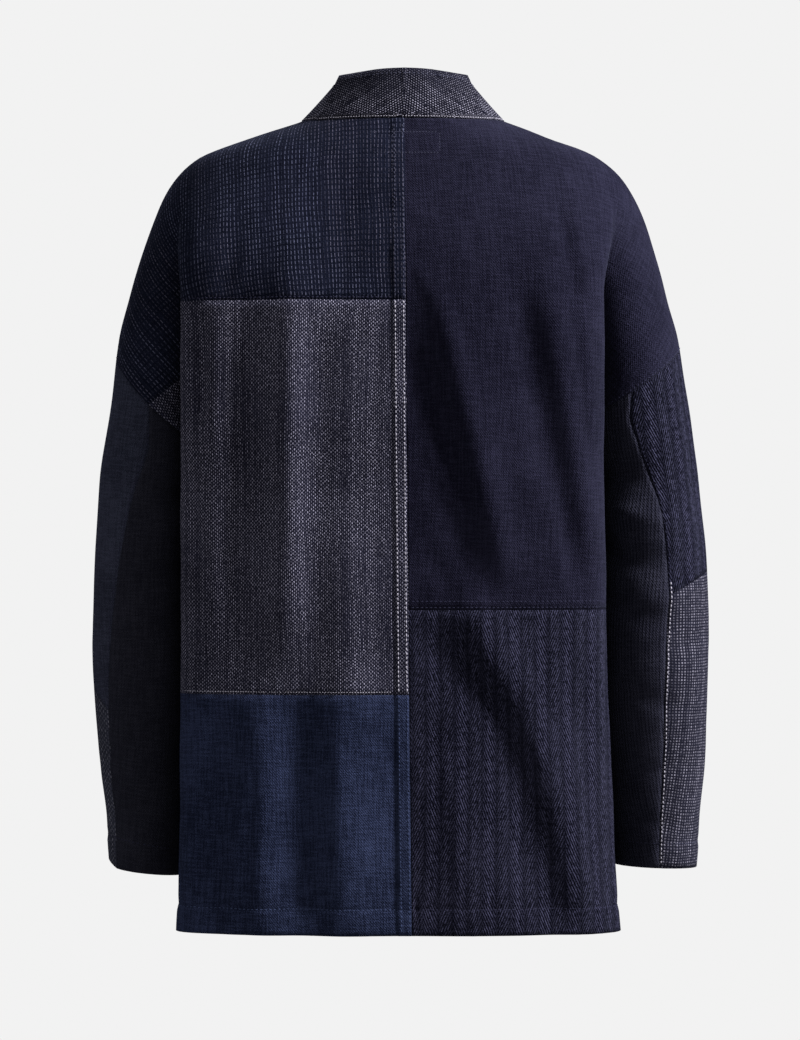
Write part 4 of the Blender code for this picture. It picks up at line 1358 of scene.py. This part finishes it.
def plain_cloth(name, dark, pale, sheen=SHEEN, rib=None):
    """Plain weave. rib: pitch, relief and share of colour of upright ribs."""
    cloth = Cloth(name)
    colour, relief = worn(cloth, dark, pale)
    height = threads(cloth, 2.3, 2.7) * 0.6 + relief
    if rib:
        pitch, depth, colour_share = rib
        line = (cloth.u * (2 * math.pi / pitch) + cloth.noise(0.02, 0.02) * 2.0).sine()
        height = height + line * depth
        colour = cloth.blend(colour, pale, line.between(0.1, 0.9) * colour_share)
    return cloth.finish(colour, height, *PLAIN_FINISH, sheen)


def herringbone_cloth(name, dark, pale, column_width, pitch):
    """Slanting ribs whose slant turns over from each column to the next."""
    cloth = Cloth(name)
    colour, relief = worn(cloth, dark, tuple(HERRINGBONE_GROUND * part for part in pale))
    place = cloth.u * (1.0 / column_width) + cloth.noise(0.01, 0.01) * 0.3
    saw = ((place * 0.5).fraction() - 0.5).size() * (2.0 * column_width)
    slant = (cloth.v + saw * HERRINGBONE_SLOPE) * (2 * math.pi / pitch)
    rib = (slant + cloth.noise(0.05, 0.05) * 2.5).sine()
    turn = (saw * (math.pi / column_width)).sine()
    broken = cloth.noise(0.35, 0.22).between(0.35, 0.6)
    colour = cloth.blend(colour, pale, rib.between(-0.2, 0.8) * broken * turn * 0.9)
    return cloth.finish(colour, rib * 1.3 + turn * 1.2 + relief, *PLAIN_FINISH)


def twill_cloth(name, dark, pale, thread):
    """Slanting rows of short flecks that lean outwards on both sides of the nape."""
    cloth = Cloth(name)
    colour, relief = worn(cloth, dark, pale, 40.0)
    along = cloth.v.size()
    u, v = cloth.u + along * TWILL_LEAN, along - cloth.u * TWILL_LEAN
    mask, by_column, by_stitch = stitch_cells(cloth, u, v, *TWILL_CELL)
    worn_off = cloth.noise(0.06, 0.06).between(0.3, 0.7)
    level = by_column * 0.35 + by_stitch * 0.4 + worn_off * 0.25
    level = level * cloth.u.between(12.0, 46.0, 1.15, 0.4)
    return raised(cloth, colour, relief, thread, mask, mask * level)


def matt(name, colour, specular):
    """A plain rough finish of one colour."""
    material = bpy.data.materials.new(name)
    material.use_nodes = True
    shader = material.node_tree.nodes["Principled BSDF"]
    shader.inputs["Base Color"].default_value = (*colour, 1.0)
    shader.inputs["Roughness"].default_value = MATT_ROUGHNESS
    shader.inputs["Specular IOR Level"].default_value = specular
    return material


# How each finish is made, and what its maker asks for after the name
LOOKS = {
    "dash_cloth": (
        stitched_cloth, (0.0008, 0.0010, 0.0022), (0.0024, 0.0028, 0.0058), (0.0205, 0.0220, 0.0360),
        (3.3, 5.2, 0.0, 0.06, 0.27), (0.02, 0.75, 0.28, 0.15), (0.0180, 0.0172, 0.0255),
    ),
    "fleck_cloth": (
        stitched_cloth, (0.0016, 0.0016, 0.0032), (0.0038, 0.0038, 0.0070), (0.0820, 0.0785, 0.1040),
        (1.75, 3.3, 0.5, 0.15, 0.19), (0.02, 0.45, 0.35, 0.25),
    ),
    "indigo_cloth": (plain_cloth, (0.0020, 0.0026, 0.0060), (0.0078, 0.0100, 0.0215)),
    "plain_navy_cloth": (plain_cloth, (0.0014, 0.0013, 0.0030), (0.0044, 0.0042, 0.0085), 0.012),
    "herringbone_cloth": (
        herringbone_cloth, (0.0010, 0.0010, 0.0022), (0.0150, 0.0148, 0.0272), 13.0, 5.6,
    ),
    "blue_black_cloth": (plain_cloth, (0.0043, 0.0047, 0.0078), (0.0108, 0.0116, 0.0186)),
    "sparse_fleck_cloth": (
        stitched_cloth, (0.0040, 0.0042, 0.0064), (0.0080, 0.0084, 0.0125), (0.0520, 0.0520, 0.0640),
        (3.4, 4.8, 0.5, 0.15, 0.2), (0.10, 0.35, 0.35, 0.10),
    ),
    "black_cloth": (plain_cloth, (0.0030, 0.0030, 0.0046), (0.0062, 0.0062, 0.0090)),
    "stitch_grid_cloth": (
        stitched_cloth, (0.0020, 0.0020, 0.0038), (0.0048, 0.0048, 0.0080), (0.0520, 0.0500, 0.0640),
        (3.2, 2.8, 0.06, 0.18, 0.20), (0.15, 0.50, 0.30, 0.15),
    ),
    "ribbed_black_cloth": (
        plain_cloth, (0.0024, 0.0024, 0.0042), (0.0070, 0.0070, 0.0110), SHEEN, (3.3, 0.5, 0.5),
    ),
    "collar_cloth": (
        twill_cloth, (0.0008, 0.0008, 0.0017), (0.0024, 0.0024, 0.0044), (0.0900, 0.0870, 0.1120),
    ),
}
FINISHES = {name: make(name, *look) for name, (make, *look) in LOOKS.items()}


class Stitches:
    """Rows of single stitches laid on the jacket's outer skin."""

    def __init__(self, surface):
        self.tree = BVHTree.FromPolygons(surface.at.tolist(), surface.face.tolist())
        self.points = {thread: [] for thread in THREADS}

    def row(self, thread, path, lift=0.0, size=1.0):
        """Lays stitches along the path, a list of places near the skin."""
        self.lay(thread, [self.tree.find_nearest(Vector(place)) for place in path], lift, size)

    def seen_row(self, thread, x, height, size=1.0):
        """Lays stitches along a path given as seen from behind."""
        hits = [
            self.tree.ray_cast(Vector((across, RAY_START, level)), Vector((0, -1, 0)))
            for across, level in zip(x, height)
        ]
        self.lay(thread, [hit for hit in hits if hit[0] is not None], 0.0, size)

    def lay(self, thread, hits, lift, size):
        """Lays stitches over the hits, each a place on the middle surface and its normal."""
        places = np.array([hit[0] for hit in hits])
        normals = unit(np.array([hit[1] for hit in hits]))
        step = np.linalg.norm(np.diff(places, axis=0), axis=1)
        length = np.concatenate([[0], np.cumsum(step)])
        middle = np.arange(0.5 * STITCH_PITCH, length[-1] - 0.5 * STITCH_PITCH, STITCH_PITCH * size)

        def read(values, at):
            return np.stack([np.interp(at, length, values[:, k]) for k in range(3)], -1)

        up = unit(read(normals, middle))
        along = unit(read(places, middle + 1.0) - read(places, middle - 1.0))
        base = read(places, middle) + up * (0.5 * CLOTH_WALL + lift - STITCH_SINK)
        half = along * (0.5 * STITCH_LENGTH * size)
        wide = unit(np.cross(up, along)) * (STITCH_HALF_WIDTH * size)
        high = up * (STITCH_HEIGHT * size)
        ring = [base - half, base + half]
        for end in (-STITCH_SHOULDER, STITCH_SHOULDER):
            for turn, rise in ((-1, STITCH_LIFT), (0, 1.0 + STITCH_LIFT), (1, STITCH_LIFT)):
                ring.append(base + half * end + wide * turn + high * rise)
        self.points[thread].append(np.stack(ring, 1))

    def piece(self, thread):
        corners = np.concatenate(self.points[thread])
        faces = [(0, 3, 2), (0, 4, 3), (2, 3, 6, 5), (3, 4, 7, 6), (1, 5, 6), (1, 6, 7)]
        count = len(corners)
        shape = [tuple(8 * k + corner for corner in face) for k in range(count) for face in faces]
        mesh = bpy.data.meshes.new("thread_" + thread)
        mesh.from_pydata(corners.reshape(-1, 3) * MM, [], shape)
        mesh.shade_smooth()
        mesh.materials.append(matt("thread_" + thread, THREADS[thread], 0.0))
        return add_object("thread_" + thread, mesh)


def sew_back(stitches):
    """Rows beside the centre seam, and above the seams of the patches."""
    spans = (
        ("grey", CENTRE_ROWS_TOP, LEFT_YOKE_SEAM),
        ("pale", LEFT_YOKE_SEAM, LEFT_LOWER_SEAM),
        ("blue", LEFT_LOWER_SEAM, CENTRE_ROWS_END),
    )
    for inset in CENTRE_ROWS:
        for thread, top, low in spans:
            level = np.linspace(top, low, ROW_SAMPLES)
            stitches.seen_row(thread, centre_seam(level) + inset, level)
    left = centre_seam(LEFT_YOKE_SEAM) + SEAM_ROWS_START[1]
    right = centre_seam(RIGHT_LOWER_SEAM) + SEAM_ROWS_START[-1]
    rows = [
        ("navy", LEFT_YOKE_SEAM + 2.4, left, SEAM_ROWS_END[1], 1.0),
        ("pale", LEFT_LOWER_SEAM + 2.6, left, SEAM_ROWS_END[1], 0.6),
    ]
    for above in RIGHT_SEAM_ROWS:
        rows.append(("navy", RIGHT_LOWER_SEAM + above, right, SEAM_ROWS_END[-1], 1.0))
    for thread, level, start, end, size in rows:
        x = np.linspace(start, end, ROW_SAMPLES)
        stitches.seen_row(thread, x, np.full(len(x), level), size)


def sew_hem(stitches, side):
    """One row along the hem of the back, and one along that of the front."""
    front = edge_stations(side, np.array([HEM_STITCH]))[0]
    for thread, face, start in (("blue" if side > 0 else "navy", 1, ROW_START), ("navy", -1, front)):
        across = np.linspace(start, 2.0, ROW_SAMPLES)
        stitches.row(thread, body_point(side, face, across, np.full(len(across), HEM_STITCH)))


def sew_sleeve(stitches, side):
    """Rows along one armhole, down the two seams of the sleeve and round its cuff."""
    def arm_row(thread, angle, level):
        x, y = arm_point(side, np.sign(angle), np.radians(np.abs(angle)), level)
        stitches.row(thread, np.stack([side * x, y, level], -1))

    for face, seam in ((1, SEAM_BACK[side]), (-1, SEAM_FRONT[side])):
        share = np.linspace(ROW_START, 1.0, ROW_SAMPLES)
        height = armhole_height(side, share) + ARMHOLE_ROW
        stitches.row("navy", body_point(side, face, 2.0 + share, height))
        level = np.linspace(
            SLEEVE_TOP[side] - SLEEVE_ROW_TOP, CUFF_OUTER[side] + SLEEVE_ROW_END, ROW_SAMPLES)
        angle = face * (seam(level) - SLEEVE_ROW_ANGLE)
        patch = (level < PATCH_LEVEL[side] - 8.0) & (face > 0)
        arm_row("navy", angle[~patch], level[~patch])
        if face > 0:
            arm_row("grey" if side > 0 else "pale", angle[patch], level[patch])
    angle = np.linspace(-180.0, 180.0, 2 * ROW_SAMPLES)
    level = cuff_height(side, 1.0 - np.abs(angle) / 180.0) + CUFF_TURN
    outside = np.abs(angle) < CUFF_ROW_SPLIT
    for thread, part in (
        ("navy" if side > 0 else "grey", outside),
        ("navy", ~outside & (angle > 0)),
        ("navy", ~outside & (angle < 0)),
    ):
        arm_row(thread, angle[part], level[part])


def sew_nape(stitches):
    """The stitched rectangle beneath the nape."""
    for (x_from, top), (x_to, low) in zip(NAPE_BOX[:-1], NAPE_BOX[1:]):
        x = np.linspace(x_from, x_to, NAPE_SAMPLES)
        stitches.seen_row("grey", x, np.linspace(top, low, NAPE_SAMPLES), 0.7)


def sew_band(stitches, path, ways):
    """Rows near both edges of the band: round the neck, and down each front edge."""
    neck = path[:, 2] > BAND_NECK_END
    left = path[:, 0] > 0
    rows = [(neck, "pale", 1.6, 0.62), (neck, "grey", BAND_WIDTH - 5.0, 1.0)]
    for part in (~neck & left, ~neck & ~left):
        rows += [(part, "grey", inset, 1.0) for inset in (2.0, BAND_WIDTH - 4.0)]
    for part, thread, inset, size in rows:
        stitches.row(thread, path[part] + ways[part] * inset, 0.5 * (BAND_WALL - CLOTH_WALL), size)


def sew(surface):
    stitches = Stitches(surface)
    sew_back(stitches)
    for side in (1, -1):
        sew_hem(stitches, side)
        sew_sleeve(stitches, side)
    sew_nape(stitches)
    sew_band(stitches, *surface.band)
    return [stitches.piece(thread) for thread in THREADS]


def set_stage():
    """A floor, the light of the surroundings, five lamps and the camera."""
    bpy.ops.mesh.primitive_circle_add(
        vertices=96, radius=FLOOR_RADIUS, fill_type="NGON", location=(0, 0, FLOOR_LEVEL))
    floor = bpy.context.object
    floor.name = "floor"
    floor.data.materials.append(matt("pale_floor", 3 * (FLOOR_GREY,), FLOOR_SPECULAR))
    scene = bpy.context.scene
    world = bpy.data.worlds.new("studio")
    world.use_nodes = True
    background = world.node_tree.nodes["Background"]
    background.inputs["Color"].default_value = (PALE, PALE, PALE, 1.0)
    background.inputs["Strength"].default_value = 1.0
    scene.world = world
    scene.view_settings.view_transform = "Standard"
    for row in LIGHTS:
        light = bpy.data.lights.new(row.name, "AREA")
        light.shape = "SQUARE"
        light.size = row.size
        light.energy = row.power
        lamp = add_object(row.name, light)
        lamp.location = row.place
        way = Vector(LIT_POINT) - Vector(row.place)
        lamp.rotation_euler = way.to_track_quat("-Z", "Y").to_euler()
    camera = bpy.data.cameras.new("camera")
    camera.sensor_fit = "HORIZONTAL"
    camera.sensor_width = 36.0
    camera.lens = CAMERA_LENS
    camera.clip_end = 100.0
    eye = add_object("camera", camera)
    eye.location = CAMERA_PLACE
    eye.rotation_euler = (math.radians(90), 0.0, math.radians(180))
    scene.camera = eye


surface = build_surface()
displace(surface)
for name, cut in CUTS.items():
    panel = Panel(surface, name)
    piece = shell(panel, BAND_WALL if name == "collar_band" else CLOTH_WALL)
    piece.data.materials.append(FINISHES[cut.slot])
    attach(piece, "root")
    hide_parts(name)
sewn = sew(surface)
for piece in sewn:
    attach(piece, "root")

set_stage()
